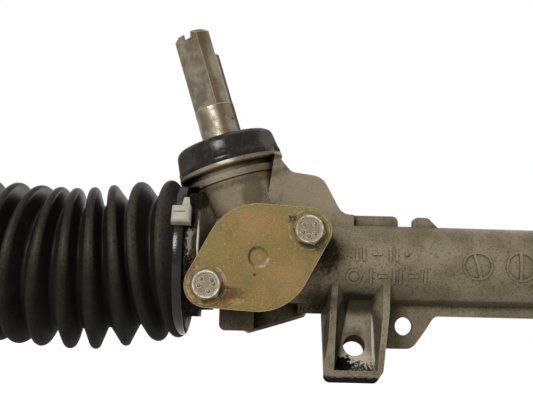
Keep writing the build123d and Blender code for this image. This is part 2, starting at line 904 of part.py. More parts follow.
def build():
    nodes = {
        "housing": housing(),
        "rack_guide_bush": rack_bush(),
        "yoke_cover_plate": yoke_cover(),
        "yoke_cover_gasket": cover_gasket(),
        "yoke_cover_bolts": cover_bolts(),
        "support_yoke": support_yoke(),
        "yoke_liner": yoke_liner(),
        "yoke_seal_ring": yoke_seal_ring(),
        "yoke_disc_springs": disc_springs(),
        "pinion_bearing_outer_race": bearing_race(bearing_outer, ball_circle + 1.2),
        "pinion_bearing_inner_race": bearing_race(ball_circle - 1.2, bearing_bore + seated_fit),
        "pinion_bearing_balls": bearing_balls(),
        "pinion_bearing_circlip": circlip(),
        "pinion_lower_bush": lower_bush(),
        "pinion_oil_seal": pinion_seal(),
        "pinion_dust_cap": dust_cap(),
        "pinion_shaft": pinion_shaft(),
        "rack_bar": rack_bar(),
    }
    makers = {
        "rack_stop": rack_stop,
        "lock_washer": lock_washer,
        "ball_joint_socket": joint_socket,
        "ball_joint_seat": ball_seat,
        "tie_rod": tie_rod,
        "tie_rod_locknut": locknut,
        "bellows": bellows,
        "bellows_strap": strap,
        "bellows_strap_lock": strap_lock,
        "bellows_small_clip": small_clip,
    }
    for side in sides:
        nodes |= {f"{name}_{side}": make(side) for name, make in makers.items()}
    return nodes


def place(shape):
    """Move from the rack frame to the frame of the drive-side mounting bore."""
    pieces = shape if isinstance(shape, list) else [shape]
    solids = [solid for piece in pieces for solid in piece.solids()]
    whole = solids[0] if len(solids) == 1 else Compound(children=solids)
    return Pos(*(-drive_bore)) * whole


if __name__ == "__main__":
    for name, shape in build().items():
        export_step(place(shape), f"parts/{name}.step")
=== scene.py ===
import bpy
import bmesh
import json
from math import atan2, cos, degrees, pi, radians, sin, tan
from mathutils import Matrix, Vector


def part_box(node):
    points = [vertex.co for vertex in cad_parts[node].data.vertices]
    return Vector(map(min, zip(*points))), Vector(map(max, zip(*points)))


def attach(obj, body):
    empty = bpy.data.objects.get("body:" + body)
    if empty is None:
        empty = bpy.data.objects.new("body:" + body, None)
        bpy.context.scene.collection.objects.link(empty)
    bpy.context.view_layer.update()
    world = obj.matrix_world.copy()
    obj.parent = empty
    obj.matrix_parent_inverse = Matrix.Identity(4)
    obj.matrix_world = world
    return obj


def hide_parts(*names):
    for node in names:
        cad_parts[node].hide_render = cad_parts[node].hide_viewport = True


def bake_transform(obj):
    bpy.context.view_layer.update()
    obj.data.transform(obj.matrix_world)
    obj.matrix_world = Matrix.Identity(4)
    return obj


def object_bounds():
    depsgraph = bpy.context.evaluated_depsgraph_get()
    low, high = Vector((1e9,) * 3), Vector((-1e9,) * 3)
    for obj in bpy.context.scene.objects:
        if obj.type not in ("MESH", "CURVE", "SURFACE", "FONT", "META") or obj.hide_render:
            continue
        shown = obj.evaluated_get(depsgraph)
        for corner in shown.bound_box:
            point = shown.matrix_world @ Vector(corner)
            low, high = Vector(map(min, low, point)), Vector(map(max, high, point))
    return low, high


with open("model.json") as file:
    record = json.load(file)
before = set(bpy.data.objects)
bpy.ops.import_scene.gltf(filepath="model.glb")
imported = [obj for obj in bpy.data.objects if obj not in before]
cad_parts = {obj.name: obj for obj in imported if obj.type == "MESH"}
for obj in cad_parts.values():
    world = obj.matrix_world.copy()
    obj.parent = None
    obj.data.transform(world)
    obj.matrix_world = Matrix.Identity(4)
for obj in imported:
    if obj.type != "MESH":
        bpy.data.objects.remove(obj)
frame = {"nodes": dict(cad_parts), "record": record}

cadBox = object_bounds()
rackLow, rackHigh = (Vector(corner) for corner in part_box("rack_bar"))
rackMiddle = (rackLow + rackHigh) / 2  # on the bar's axis, halfway along it
mm = 0.001
pinionFromMiddle = -193  # where the pinion crosses the bar, in mm from its middle
pinionLean = radians(17.5)
pinionAxis = Vector((-sin(pinionLean), 0, cos(pinionLean)))
pinionAcross = Vector((cos(pinionLean), 0, sin(pinionLean)))
pinionBehind = 14.1  # the pinion's axis passes behind the bar's, in mm
coverFace = -40.5  # the yoke cover's outer face, in mm from the bar's axis


def rackPlace(x, y, z):
    # mm from the pinion's crossing, X along the bar, Y away from the cover, Z up
    return rackMiddle + Vector((x + pinionFromMiddle, y, z)) * mm


def outPlace(side, out, y, z):
    # mm outward from the bar's middle
    return rackMiddle + Vector((-out if side == "left" else out, y, z)) * mm


def addObject(name, data):
    made = bpy.data.objects.new(name, data)
    bpy.context.scene.collection.objects.link(made)
    return made


cameraSettings = {
    "place": Vector((-0.1898, -0.452, -0.028)),  # from the middle of the rack, in metres
    "target": Vector((-0.1898, 0, 0.0318)),
    "roll": 1.4,
    "focalPixels": 900,
    "imageWidth": 533,
    "sensorWidth": 36,
    "clipStart": 0.01,
}


def addCamera():
    settings = cameraSettings
    forward = (settings["target"] - settings["place"]).normalized()
    level = forward.cross(Vector((0, 0, 1))).normalized()
    upright = level.cross(forward)
    roll = radians(settings["roll"])
    right = cos(roll) * level + sin(roll) * upright
    up = cos(roll) * upright - sin(roll) * level
    camera = addObject("camera", bpy.data.cameras.new("camera"))
    turn = Matrix((right, up, -forward)).transposed().to_4x4()
    camera.matrix_world = Matrix.Translation(rackMiddle + settings["place"]) @ turn
    camera.data.sensor_width = settings["sensorWidth"]
    camera.data.lens = settings["focalPixels"] * settings["sensorWidth"] / settings["imageWidth"]
    camera.data.clip_start = settings["clipStart"]
    bpy.context.scene.camera = camera


def feed(tree, socket, value):
    # a link from another node, a colour, a palette colour by its name, or a number
    if isinstance(value, bpy.types.NodeSocket):
        tree.links.new(value, socket)
    else:
        value = paletteColours[value] if isinstance(value, str) else value
        socket.default_value = (*value, 1) if socket.type == "RGBA" else value


def put(tree, kind, settings=None, **inputs):
    # one node, its settings and its inputs: i0 is the first, and names have underscores for spaces
    made = tree.nodes.new("ShaderNode" + kind)
    for name, value in (settings or {}).items():
        setattr(made, name, value)
    for name, value in inputs.items():
        key = int(name[1:]) if name[1:].isdigit() else name.replace("_", " ")
        feed(tree, made.inputs[key], value)
    return made


def maths(tree, operation, first, second=0.0):
    return put(tree, "Math", {"operation": operation}, i0=first, i1=second).outputs[0]


def times(tree, first, second):
    return maths(tree, "MULTIPLY", first, second)


def vectors(tree, operation, first, second=(0, 0, 0)):
    made = put(tree, "VectorMath", {"operation": operation}, i0=first, i1=second)
    return made.outputs["Value" if operation in ("LENGTH", "DOT_PRODUCT") else "Vector"]


def noise(tree, place, scale, detail, roughness=0.5):
    return put(tree, "TexNoise", Vector=place, Scale=scale, Detail=detail, Roughness=roughness).outputs[0]


def mixValue(tree, amount, first, second):
    return put(tree, "Mix", {"data_type": "FLOAT"}, i0=amount, i2=first, i3=second).outputs[0]


def mix(tree, amount, first, second):
    return put(tree, "Mix", {"data_type": "RGBA"}, i0=amount, i6=first, i7=second).outputs[2]


def paint(tree, colour, over, mask, share):
    # a second colour laid over the first where the mask says
    return mix(tree, times(tree, mask, share), colour, over)


def ramp(tree, value, low, high, newLow=0.0, newHigh=1.0):
    # a smooth change from newLow to newHigh as the value goes from low to high
    levels = {"From_Min": low, "From_Max": high, "To_Min": newLow, "To_Max": newHigh}
    return put(tree, "MapRange", {"interpolation_type": "SMOOTHSTEP"}, Value=value, **levels).outputs[0]


def buildGroup(name, draw, inputs, outputs=("Mask",)):
    # numbers make number inputs, anything else vector ones; every output is a number
    group = bpy.data.node_groups.new(name, "ShaderNodeTree")
    for label, value in inputs.items():
        kind = "NodeSocketFloat" if isinstance(value, float) else "NodeSocketVector"
        socket = group.interface.new_socket(label, in_out="INPUT", socket_type=kind)
        if value is not None:
            socket.default_value = value
    for label in outputs:
        group.interface.new_socket(label, in_out="OUTPUT", socket_type="NodeSocketFloat")
    ends = group.nodes.new("NodeGroupOutput").inputs
    given = group.nodes.new("NodeGroupInput").outputs
    for label, value in zip(outputs, draw(group, given.get("Place"), given)):
        group.links.new(value, ends[label])


def useGroup(tree, name, **inputs):
    return put(tree, "Group", {"node_tree": bpy.data.node_groups[name]}, **inputs).outputs


maskSettings = {
    "mottleNoise": (4, 0.6),  # detail and roughness
    "spotNoise": (5, 0.65),
    "noiseMiddle": 0.5,
    "raggedGain": 4,  # noise strays little from its middle
    "ringNoise": (450, 4),  # scale and detail
    "ringBreakup": (0.38, 0.62),  # noise levels where it is bare and full
    "edgeRadius": 0.0006,  # in metres
    "edgeTurn": (0.1, 1),  # where an edge begins to show and is full
}


def drawMottle(tree, place, given):
    # soft patches between two noise levels
    level = noise(tree, place, given["Scale"], *maskSettings["mottleNoise"])
    return [ramp(tree, level, given["Low"], given["High"])]


def drawSpot(tree, place, given):
    # a patch round one place with a ragged edge
    settings = maskSettings
    away = vectors(tree, "SUBTRACT", place, given["Centre"])
    length = vectors(tree, "LENGTH", vectors(tree, "DIVIDE", away, given["Reach"]))
    level = noise(tree, place, given["Scale"], *settings["spotNoise"])
    rough = times(tree, maths(tree, "SUBTRACT", level, settings["noiseMiddle"]), given["Ragged"])
    reach = maths(tree, "ADD", length, times(tree, rough, settings["raggedGain"]))
    inner, outer = (maths(tree, side, 1.0, given["Softness"]) for side in ("SUBTRACT", "ADD"))
    return [ramp(tree, reach, inner, outer, 1.0, 0.0)]


def drawBand(tree, place, given):
    # between two distances from the pinion's crossing, along the pinion or another axis
    away = vectors(tree, "SUBTRACT", place, rackPlace(0, pinionBehind, 0))
    along = vectors(tree, "DOT_PRODUCT", away, given["Axis"])
    slopes = []
    for edge, start, end in (("Low", 0.0, 1.0), ("High", 1.0, 0.0)):
        before, after = (maths(tree, side, given[edge], given["Softness"]) for side in ("SUBTRACT", "ADD"))
        slopes.append(ramp(tree, along, before, after, start, end))
    return [times(tree, *slopes)]


def drawRing(tree, place, given):
    # a ring on the cover round one place, broken up by noise: worn rings and coated slopes, and also painted
    # shade and painted highlights
    away = vectors(tree, "SUBTRACT", place, given["Centre"])
    length = vectors(tree, "LENGTH", vectors(tree, "MULTIPLY", away, (1, 0, 1)))
    off = maths(tree, "ABSOLUTE", maths(tree, "SUBTRACT", length, given["Radius"]))
    worn = ramp(tree, noise(tree, place, *maskSettings["ringNoise"]), *maskSettings["ringBreakup"])
    return [times(tree, ramp(tree, off, 0.0, given["Width"], 1.0, 0.0), worn)]


def drawEdge(tree, place, given):
    # how far the surface turns within a small radius: bright on edges and in corners
    rounded = put(tree, "Bevel", {"samples": 4}, Radius=maskSettings["edgeRadius"]).outputs[0]
    plain = put(tree, "NewGeometry").outputs["Normal"]
    turn = maths(tree, "SUBTRACT", 1.0, vectors(tree, "DOT_PRODUCT", rounded, plain))
    return [ramp(tree, times(tree, turn, given["Sharpness"]), *maskSettings["edgeTurn"])]


def drawNook(tree, place, given):
    # how shut in a place is, from open 0 to nook 1
    shade = put(tree, "AmbientOcclusion", {"samples": 6, "only_local": False}, Distance=given["Reach"])
    return [maths(tree, "SUBTRACT", 1.0, shade.outputs["AO"])]


castSkinSettings = {
    # noise scale, detail and roughness
    "grain": (2200, 3, 0.6),
    "coarse": (900, 5, 0.65),
    "swell": (60, 3, 0.5),
    "heights": {"grain": 0.35, "coarse": 0.5, "swell": 0.5},
    # noise levels between which each changes
    "speckle": (0.3, 0.52),
    "glitter": (0.55, 0.75),
    "patch": (0.35, 0.65),
}


def drawCastSkin(tree, place, given):
    # the sandy skin of a die casting: fine grain, pits and a slow swell
    settings = castSkinSettings
    grain, coarse, swell = (noise(tree, place, *settings[name]) for name in ("grain", "coarse", "swell"))
    shares = settings["heights"]
    height = maths(tree, "ADD", times(tree, grain, shares["grain"]), times(tree, coarse, shares["coarse"]))
    height = maths(tree, "ADD", height, times(tree, swell, shares["swell"]))
    speckle = ramp(tree, coarse, *settings["speckle"], 1.0, 0.0)
    glitter = ramp(tree, grain, *settings["glitter"])
    return [height, speckle, glitter, ramp(tree, swell, *settings["patch"])]


# name, what draws it, inputs, and outputs where there are more than a mask
groups = [
    ("mottle", drawMottle, {"Place": None, "Scale": 100.0, "Low": 0.4, "High": 0.6}),
    ("spot", drawSpot, {
        "Place": None, "Centre": (0, 0, 0), "Reach": (0.01, 0.01, 0.01),
        "Softness": 0.3, "Ragged": 0.3, "Scale": 300.0,
    }),
    ("band", drawBand, {"Place": None, "Axis": pinionAxis, "Low": 0.0, "High": 0.01, "Softness": 0.001}),
    ("ring", drawRing, {"Place": None, "Centre": (0, 0, 0), "Radius": 0.008, "Width": 0.0006}),
    ("edgeTurn", drawEdge, {"Sharpness": 6.0}),
    ("nook", drawNook, {"Reach": 0.008}),
    ("castSkin", drawCastSkin, {"Place": None}, ("Height", "Speckle", "Glitter", "Patch")),
]


def startLook(name):
    material = bpy.data.materials.new(name)
    material.use_nodes = True
    return material, material.node_tree, put(material.node_tree, "TexCoord").outputs["Object"]


def finishLook(material, settings, colour, roughness, height, **others):
    # the settings say its bump's strength and height in metres, and may say metallic and specular
    tree = material.node_tree
    strength, distance = settings["bump"]
    normal = put(tree, "Bump", Strength=strength, Distance=distance, Height=height).outputs[0]
    given = {"metallic": 0.0, "specular": 0.5} | settings | others
    fillShader(material, {
        "Base Color": colour, "Roughness": roughness, "Normal": normal,
        "Metallic": given["metallic"], "Specular IOR Level": given["specular"],
    })
    return material


def fillShader(material, given):
    for name, value in given.items():
        feed(material.node_tree, material.node_tree.nodes["Principled BSDF"].inputs[name], value)


def mottle(tree, place, scale, low, high):
    return useGroup(tree, "mottle", Place=place, Scale=scale, Low=low, High=high)["Mask"]


def spot(tree, place, centre, reach, softness, ragged=0.0, scale=300.0):
    # centre and reach in mm, from the pinion's crossing
    given = {"Centre": rackPlace(*centre), "Reach": Vector(reach) * mm}
    return useGroup(tree, "spot", Place=place, Softness=softness, Ragged=ragged, Scale=scale, **given)["Mask"]


def band(tree, place, low, high, softness, axis=pinionAxis):
    given = {"Low": low * mm, "High": high * mm, "Softness": softness * mm}
    return useGroup(tree, "band", Place=place, Axis=axis, **given)["Mask"]


def ring(tree, place, centre, radius, width=0.6):
    given = {"Centre": rackPlace(centre[0], 0, centre[1]), "Radius": radius * mm, "Width": width * mm}
    return useGroup(tree, "ring", Place=place, **given)["Mask"]


def edgeWear(tree, sharpness):
    return useGroup(tree, "edgeTurn", Sharpness=sharpness)["Mask"]


def nookShadeAndDirt(tree, reach, low, high, share=1.0):
    # painted shade with dirt in nooks, which begins and is full at two levels of shade
    return times(tree, ramp(tree, useGroup(tree, "nook", Reach=reach)["Mask"], low, high), share)


# the oil and soot colours serve both for real oil and soot and for painted shade, and the bright one also for
# painted highlights
paletteColours = {
    "soot": (0.006, 0.005, 0.004), "oil": (0.022, 0.018, 0.012),
    "brown": (0.055, 0.038, 0.018), "olive": (0.085, 0.07, 0.04),
    "rust": (0.26, 0.12, 0.03), "pale": (0.4, 0.36, 0.29),
    "bright": (0.62, 0.57, 0.48), "gold": (0.3, 0.2, 0.06),
    "umber": (0.075, 0.036, 0.008), "sand": (0.25, 0.205, 0.14),
    "pink": (0.26, 0.135, 0.065), "green": (0.13, 0.105, 0.03),
    "dust": (0.032, 0.026, 0.017), "clay": (0.075, 0.061, 0.043),
}
grimyColours = ("soot", "oil", "brown", "umber", "dust", "clay")  # these also dull the gloss


def addSpots(tree, place, colour, spots):
    # each spot: its centre and reach, colour, strength, softness, raggedness and, if not 300, its grain; most
    # are stains, some are painted shade and painted highlights
    grime = 0.0
    for centre, reach, tone, strength, *edge in spots:
        share = times(tree, spot(tree, place, centre, reach, *edge), strength)
        colour = mix(tree, share, colour, tone)
        if tone in grimyColours:
            grime = maths(tree, "MAXIMUM", grime, share)
    return colour, grime


def addBands(tree, place, colour, bands, axis=pinionAxis):
    # each band: from and to along the axis in mm, softness, colour and strength
    for (low, high), softness, tone, strength in bands:
        colour = paint(tree, colour, tone, band(tree, place, low, high, softness, axis), strength)
    return colour


castingLook = {
    "plain": (0.124, 0.102, 0.063),
    "light": (0.19, 0.158, 0.104),
    "dark": (0.04, 0.033, 0.02),
    "worn": (0.36, 0.31, 0.23),
    "metallic": 0.18,
    "specular": 0.02,
    "roughness": (0.5, 1),  # clean and grimy
    "shares": {"Speckle": 0.75, "Glitter": 0.5, "edge": 0.35},
    "sharpness": 6,
    "nook": (0.009, 0.12, 0.7, 0.9),
    "grime": (0.1, 0.7),
    "bump": (0.9, 0.0007),
    # painted shade in bands across the pinion's axis: under the tower's second band, and in the groove below
    # its collar
    "bands": [
        ((39, 42.6), 1.4, "oil", 0.62),
        ((47.2, 50), 0.5, "soot", 0.55),
    ],
    "lug": ((46.5, -16, -37), (15.5, 17, 20), 0.1, 0.05, 200),
    "lugWallShade": {1: 0.92, -1: 0.72},  # the way a wall faces, and its painted shade with grime
    "facing": (0.4, 0.75),
    "spots": [
        ((26, -7, 38), (17, 7, 17), "sand", 0.6, 0.4, 0.3),
        ((-17, -17, 30), (12, 12, 9), "sand", 0.5, 0.5, 0.3),
        ((46.7, -20, -34), (8, 9, 15), "pale", 0.25, 0.5, 0.25, 500),
        ((47.5, -21, -47.5), (9, 6, 6), "pale", 0.7, 0.4, 0.3, 700),
        # painted highlight: a thin bright line down the right edge of the lug's floor
        ((55.5, -18, -38.4), (0.5, 30, 12.5), "bright", 0.7, 0.3, 0.2, 500),
        ((46.7, -11, -37), (6.5, 6.5, 7), "brown", 0.8, 0.3, 0.2, 500),
        # painted shade under the tube, between the lug's ribs and down to the top of its floor
        ((47, -7, -18.4), (15, 9, 7.6), "oil", 0.9, 0.25, 0.1, 200),
        ((29, -12, -36), (2.6, 16, 26), "brown", 0.7, 0.4, 0.15),
        ((40.9, -20, -49), (4.8, 4, 4.2), "soot", 1, 0.12, 0.5, 420),
        ((49, -20, -51), (9.5, 5, 3), "soot", 0.9, 0.15, 1.6, 900),
        # painted shade with soot on the lug's underside
        ((46, -14, -58.4), (27, 27, 5.6), "soot", 0.96, 0.12, 0.3, 500),
        ((72, 0, -33), (26, 7, 12), "olive", 0.25, 0.3, 0.2, 250),
        ((62, -4, -32), (4, 8, 12), "oil", 0.3, 0.5, 0.1),
        # painted shadow: a dark line along the underside of the tube
        ((120, -9, -18.4), (90, 8, 1.6), "oil", 0.5, 0.4, 0.1),
        ((33, -18, 4), (5.5, 9, 9), "soot", 0.75, 0.4, 0.6, 500),
        ((28.5, -18, -19), (12, 14, 5), "oil", 0.6, 0.5, 0.4, 400),
        ((26.3, -17, -22.6), (7, 10, 3), "soot", 0.9, 0.2, 1.5, 900),
        ((-8, -16, -31), (24, 26, 8), "oil", 0.45, 0.3, 0.4, 400),
        ((12, -6, -30), (14, 18, 9), "oil", 0.3, 0.4, 0.5, 400),
        ((-29, -20, -20), (9, 26, 12), "soot", 0.85, 0.4, 0.3),
        ((-3.5, -10, 34), (5.5, 9, 9), "olive", 0.8, 0.3, 0),
        ((0.4, -7.6, 44.6), (3.6, 6, 2), "rust", 0.42, 0.4, 0.5, 500),
        ((-2, -8, 46.5), (6, 8, 3), "olive", 0.6, 0.5, 0.3, 400),
        ((-22, -14, 46), (11, 12, 7), "sand", 0.6, 0.5, 0.3, 500),
        # painted highlight on the rim of the collar
        ((-20, -15.5, 50.2), (5.5, 10, 2.6), "bright", 0.85, 0.4, 0.3, 600),
        ((-26, -22, 8), (3, 14, 17), "brown", 0.6, 0.5, 0.3, 400),
        ((-32.6, -22, 5), (2.7, 18, 34), "soot", 0.97, 0.15, 0.5, 700),
        ((-32.3, -30, 7.5), (1.2, 10, 6), "pale", 0.4, 0.3, 1.2, 700),
        ((-29.6, -22, 4), (1.5, 20, 36), "soot", 0.85, 0.3, 0.4, 500),
        ((-29.5, -20, 30), (5, 18, 9), "soot", 0.9, 0.3, 0.3, 400),
        ((-28.3, -31, 7.5), (0.55, 8, 8.5), "bright", 0.9, 0.3, 0.2, 600),
    ],
}


def makeCasting():
    look = castingLook
    shares = look["shares"]
    material, tree, place = startLook("castAluminium")
    skin = useGroup(tree, "castSkin", Place=place)
    colour = mix(tree, skin["Patch"], look["plain"], look["light"])
    for name, tone in (("Speckle", "dark"), ("Glitter", "worn")):
        colour = paint(tree, colour, look[tone], skin[name], shares[name])
    colour = paint(tree, colour, look["worn"], edgeWear(tree, look["sharpness"]), shares["edge"])
    # painted shade with oily dirt, darkest in the casting's nooks
    dirtAndShade = nookShadeAndDirt(tree, *look["nook"])
    colour = mix(tree, dirtAndShade, colour, "oil")
    # painted shade under the tower's second band and in its groove
    colour = addBands(tree, place, colour, look["bands"])
    # painted shade with grime on the lug's side walls, set by the way each faces: darkest on the one that
    # faces right, away from the key lamp
    lug = spot(tree, place, *look["lug"])
    facing = put(tree, "NewGeometry").outputs["True Normal"]
    across = put(tree, "SeparateXYZ", Vector=facing).outputs["X"]
    for direction, strength in look["lugWallShade"].items():
        wall = ramp(tree, times(tree, across, direction), *look["facing"])
        wall = times(tree, times(tree, wall, lug), strength)
        colour = mix(tree, wall, colour, "oil")
        dirtAndShade = maths(tree, "MAXIMUM", dirtAndShade, wall)
    colour, grime = addSpots(tree, place, colour, look["spots"])
    dirtAndShade = ramp(tree, maths(tree, "MAXIMUM", dirtAndShade, grime), *look["grime"])
    roughness = mixValue(tree, dirtAndShade, *look["roughness"])
    metallic = mixValue(tree, dirtAndShade, look["metallic"], 0.0)
    return finishLook(material, look, colour, roughness, skin["Height"], metallic=metallic)


plateLook = {
    "plain": (0.168, 0.112, 0.03),
    "warm": (0.2, 0.112, 0.034),
    "green": (0.125, 0.098, 0.026),
    "scratch": (0.34, 0.27, 0.15),
    "worn": (0.44, 0.37, 0.24),
    "metallic": 0.25,
    "specular": 0.22,
    "roughness": (0.42, 0.6),
    # streaks run down the plate and rubbed lines across it; patches: scale, low and high noise level
    "streakStretch": (1, 1, 0.45),
    "rubTurn": 28,
    "rubStretch": (0.06, 1, 1),
    "streak": (330, 0.35, 0.7),
    "broad": (85, 0.38, 0.62),
    "fine": (1300, 0.35, 0.65),
    "rub": (2200, 0.6, 0.72),
    "fleck": (700, 0.6, 0.72),
    "shares": {"streak": 0.6, "fine": 0.3, "rub": 0.35, "fleck": 0.45, "boltRing": 0.6, "edge": 0.6},
    "sharpness": 7,
    "nook": (0.003, 0.15, 0.6, 0.85),
    "bump": (0.35, 0.0003),
    # painted shade on the dimple's slope at its upper left and a painted highlight at its lower right
    "slope": (4.4, 1.3),
    "sides": [((-3.4, -40, 3.4), "soot", 0.9), ((3.4, -40, -3.4), "bright", 0.4)],
    "sideReach": (4.6, 3, 4.6),
    "sideSoft": 0.25,
    "dimple": ((0, -40, 0), (5.6, 5.6, 5.6), 0.1),
    "boltRings": [((-23.2, -13.1), 9), ((-23.2, -13.1), 8), ((23.2, 13.1), 9.2)],
    # as the casting's stains, but places and reaches are across the plate's face and up it
    "spots": [
        ((-2, 24), (30, 4.5), "green", 0.7, 0.5, 0.7),
        ((-24, 6), (7, 10), "green", 0.6, 0.5, 0.7),
        ((29, 16), (6, 9), "green", 0.7, 0.5, 0.6),
        ((20, -14), (5, 12), "green", 0.5, 0.5, 0.6),
        ((-2, 15.5), (10, 7), "pink", 0.3, 0.6, 0.6, 250),
        ((14, -8), (7, 9), "pink", 0.3, 0.6, 0.7, 250),
        ((-13.5, -17), (4.6, 3), "soot", 0.8, 0.35, 0.5, 500),
        ((-10.8, -17.4), (4.6, 3.2), "umber", 0.85, 0.4, 0.9, 600),
        ((-9, -20.4), (3.2, 1.5), "gold", 0.4, 0.4, 1, 900),
        ((-30.5, -12), (3, 8), "umber", 0.6, 0.4, 1.4, 700),
        ((-22, -21.8), (9, 1.8), "umber", 0.55, 0.4, 0.7, 500),
        ((26, 6), (7, 3), "brown", 0.75, 0.5, 0.4, 400),
        ((15.5, 18), (1.7, 1.9), "soot", 0.9, 0.3, 0.9, 700),
        ((-1.4, -8), (0.7, 0.7), "soot", 0.8, 0.3, 0.2, 600),
    ],
    "stainDeep": 5,
}


def makePlate():
    look = plateLook
    shares = look["shares"]
    material, tree, place = startLook("zincYellow")
    drawn = put(tree, "Mapping", Vector=place, Scale=look["streakStretch"]).outputs[0]
    turn = (0, radians(look["rubTurn"]), 0)
    rubbed = put(tree, "Mapping", Vector=place, Rotation=turn, Scale=look["rubStretch"]).outputs[0]
    streak, rub = mottle(tree, drawn, *look["streak"]), mottle(tree, rubbed, *look["rub"])
    broad, fine, fleck = (mottle(tree, place, *look[name]) for name in ("broad", "fine", "fleck"))
    colour = mix(tree, broad, look["plain"], look["green"])
    colour = paint(tree, colour, look["warm"], streak, shares["streak"])
    colour = paint(tree, colour, "brown", fine, shares["fine"])
    spots = [
        ((x, coverFace, z), (wide, look["stainDeep"], tall), *rest)
        for (x, z), (wide, tall), *rest in look["spots"]
    ]
    colour = addSpots(tree, place, colour, spots)[0]
    colour = paint(tree, colour, look["scratch"], rub, shares["rub"])
    colour = paint(tree, colour, look["scratch"], fleck, shares["fleck"])
    slope = ring(tree, place, (0, 0), *look["slope"])
    # painted shade and a painted highlight on the dimple's slope
    for side, tone, strength in look["sides"]:
        near = spot(tree, place, side, look["sideReach"], look["sideSoft"])
        colour = paint(tree, colour, tone, times(tree, slope, near), strength)
    for centre, radius in look["boltRings"]:
        colour = paint(tree, colour, look["scratch"], ring(tree, place, centre, radius), shares["boltRing"])
    # the pressed dimple keeps its coating on its rims
    outside = maths(tree, "SUBTRACT", 1.0, spot(tree, place, *look["dimple"]))
    edge = times(tree, edgeWear(tree, look["sharpness"]), outside)
    # painted shade with umber dirt in the plate's nooks
    colour = mix(tree, nookShadeAndDirt(tree, *look["nook"]), colour, "umber")
    colour = paint(tree, colour, look["worn"], edge, shares["edge"])
    roughness = mixValue(tree, fine, *look["roughness"])
    return finishLook(material, look, colour, roughness, fine)


shaftLook = {
    "polished": (0.25, 0.215, 0.155),
    "dull": (0.085, 0.066, 0.043),
    "metallic": 0.7,
    "roughness": (0.27, 0.45),
    "stretch": (1, 1, 9),  # makes grinding lines that run round the leaning shaft
    "lines": (260, 0.3, 0.7),
    "patch": (140, 0.38, 0.62),
    "shares": {"patch": 0.75, "lines": 0.3, "edge": 0.8},
    "sharpness": 6,
    "bump": (0.15, 0.0002),
    "bands": [((66.4, 67.4), 0.3, "soot", 0.8)],
    # painted reflection in strips down the shaft, to the right of its axis, and painted shade on its dark
    # right edge: where that begins and is full
    "reflectionStrips": [((1.4, 4.6), 1, "umber", 0.6), ((5.6, 8), 0.8, "sand", 0.4)],
    "rim": (8.2, 9.6),
    "rimEnd": 100,
    "spots": [
        ((-35, 3, 118), (7, 9, 7), "umber", 0.55, 0.5, 0.4),
        ((-15.3, 7.4, 75.4), (0.8, 3, 0.8), "soot", 0.9, 0.3, 0.2, 900),
    ],
}


def makeGroundSteel():
    look = shaftLook
    shares = look["shares"]
    material, tree, place = startLook("groundSteel")
    turn = (0, pinionLean, 0)
    turned = put(tree, "Mapping", Vector=place, Rotation=turn, Scale=look["stretch"]).outputs[0]
    lines, patch = mottle(tree, turned, *look["lines"]), mottle(tree, place, *look["patch"])
    colour = paint(tree, look["polished"], look["dull"], patch, shares["patch"])
    colour = paint(tree, colour, look["dull"], lines, shares["lines"])
    colour = addBands(tree, place, colour, look["bands"])
    # painted reflection: a dark and a light strip down the shaft
    colour = addBands(tree, place, colour, look["reflectionStrips"], pinionAcross)
    colour = addSpots(tree, place, colour, look["spots"])[0]
    # painted shade on the shaft's right edge, which also turns fully rough there and loses its metal
    low, high = look["rim"]
    rim = band(tree, place, (low + high) / 2, look["rimEnd"], (high - low) / 2, pinionAcross)
    colour = mix(tree, rim, colour, "umber")
    edge = edgeWear(tree, look["sharpness"])
    colour = paint(tree, colour, "bright", edge, shares["edge"])
    roughness = mixValue(tree, rim, mixValue(tree, patch, *look["roughness"]), 1.0)
    metallic = mixValue(tree, rim, look["metallic"], 0.0)
    return finishLook(material, look, colour, roughness, lines, metallic=metallic)


boltLook = {
    "plain": (0.165, 0.135, 0.09),
    "film": (0.105, 0.083, 0.046),
    "worn": (0.5, 0.43, 0.34),
    "metallic": 0.5,
    "roughness": (0.36, 0.55),
    "patch": (700, 0.3, 0.7),
    "sharpness": 7,
    "edge": 0.85,
    "nook": (0.004, 0.25, 0.8),
    "bump": (0.2, 0.0002),
    # radius, width, colour and strength: coated slopes like the cover's, and a painted highlight on the rim
    # round the face
    "rings": [(7.9, 1.9, "umber", 0.9), (5.9, 0.5, "bright", 0.7)],
}


def makeBoltSteel():
    look = boltLook
    material, tree, place = startLook("boltSteel")
    patch = mottle(tree, place, *look["patch"])
    colour = mix(tree, patch, look["plain"], look["film"])
    colour = paint(tree, colour, look["worn"], edgeWear(tree, look["sharpness"]), look["edge"])
    # painted shade with brown dirt in the bolts' nooks
    colour = mix(tree, nookShadeAndDirt(tree, *look["nook"]), colour, "brown")
    for bolt in boltSizes["bolts"]:
        # the bright ring round the face is a painted highlight
        for radius, width, tone, strength in look["rings"]:
            mask = ring(tree, place, bolt["place"], radius, width)
            colour = paint(tree, colour, tone, mask, strength)
    roughness = mixValue(tree, patch, *look["roughness"])
    return finishLook(material, look, colour, roughness, patch)


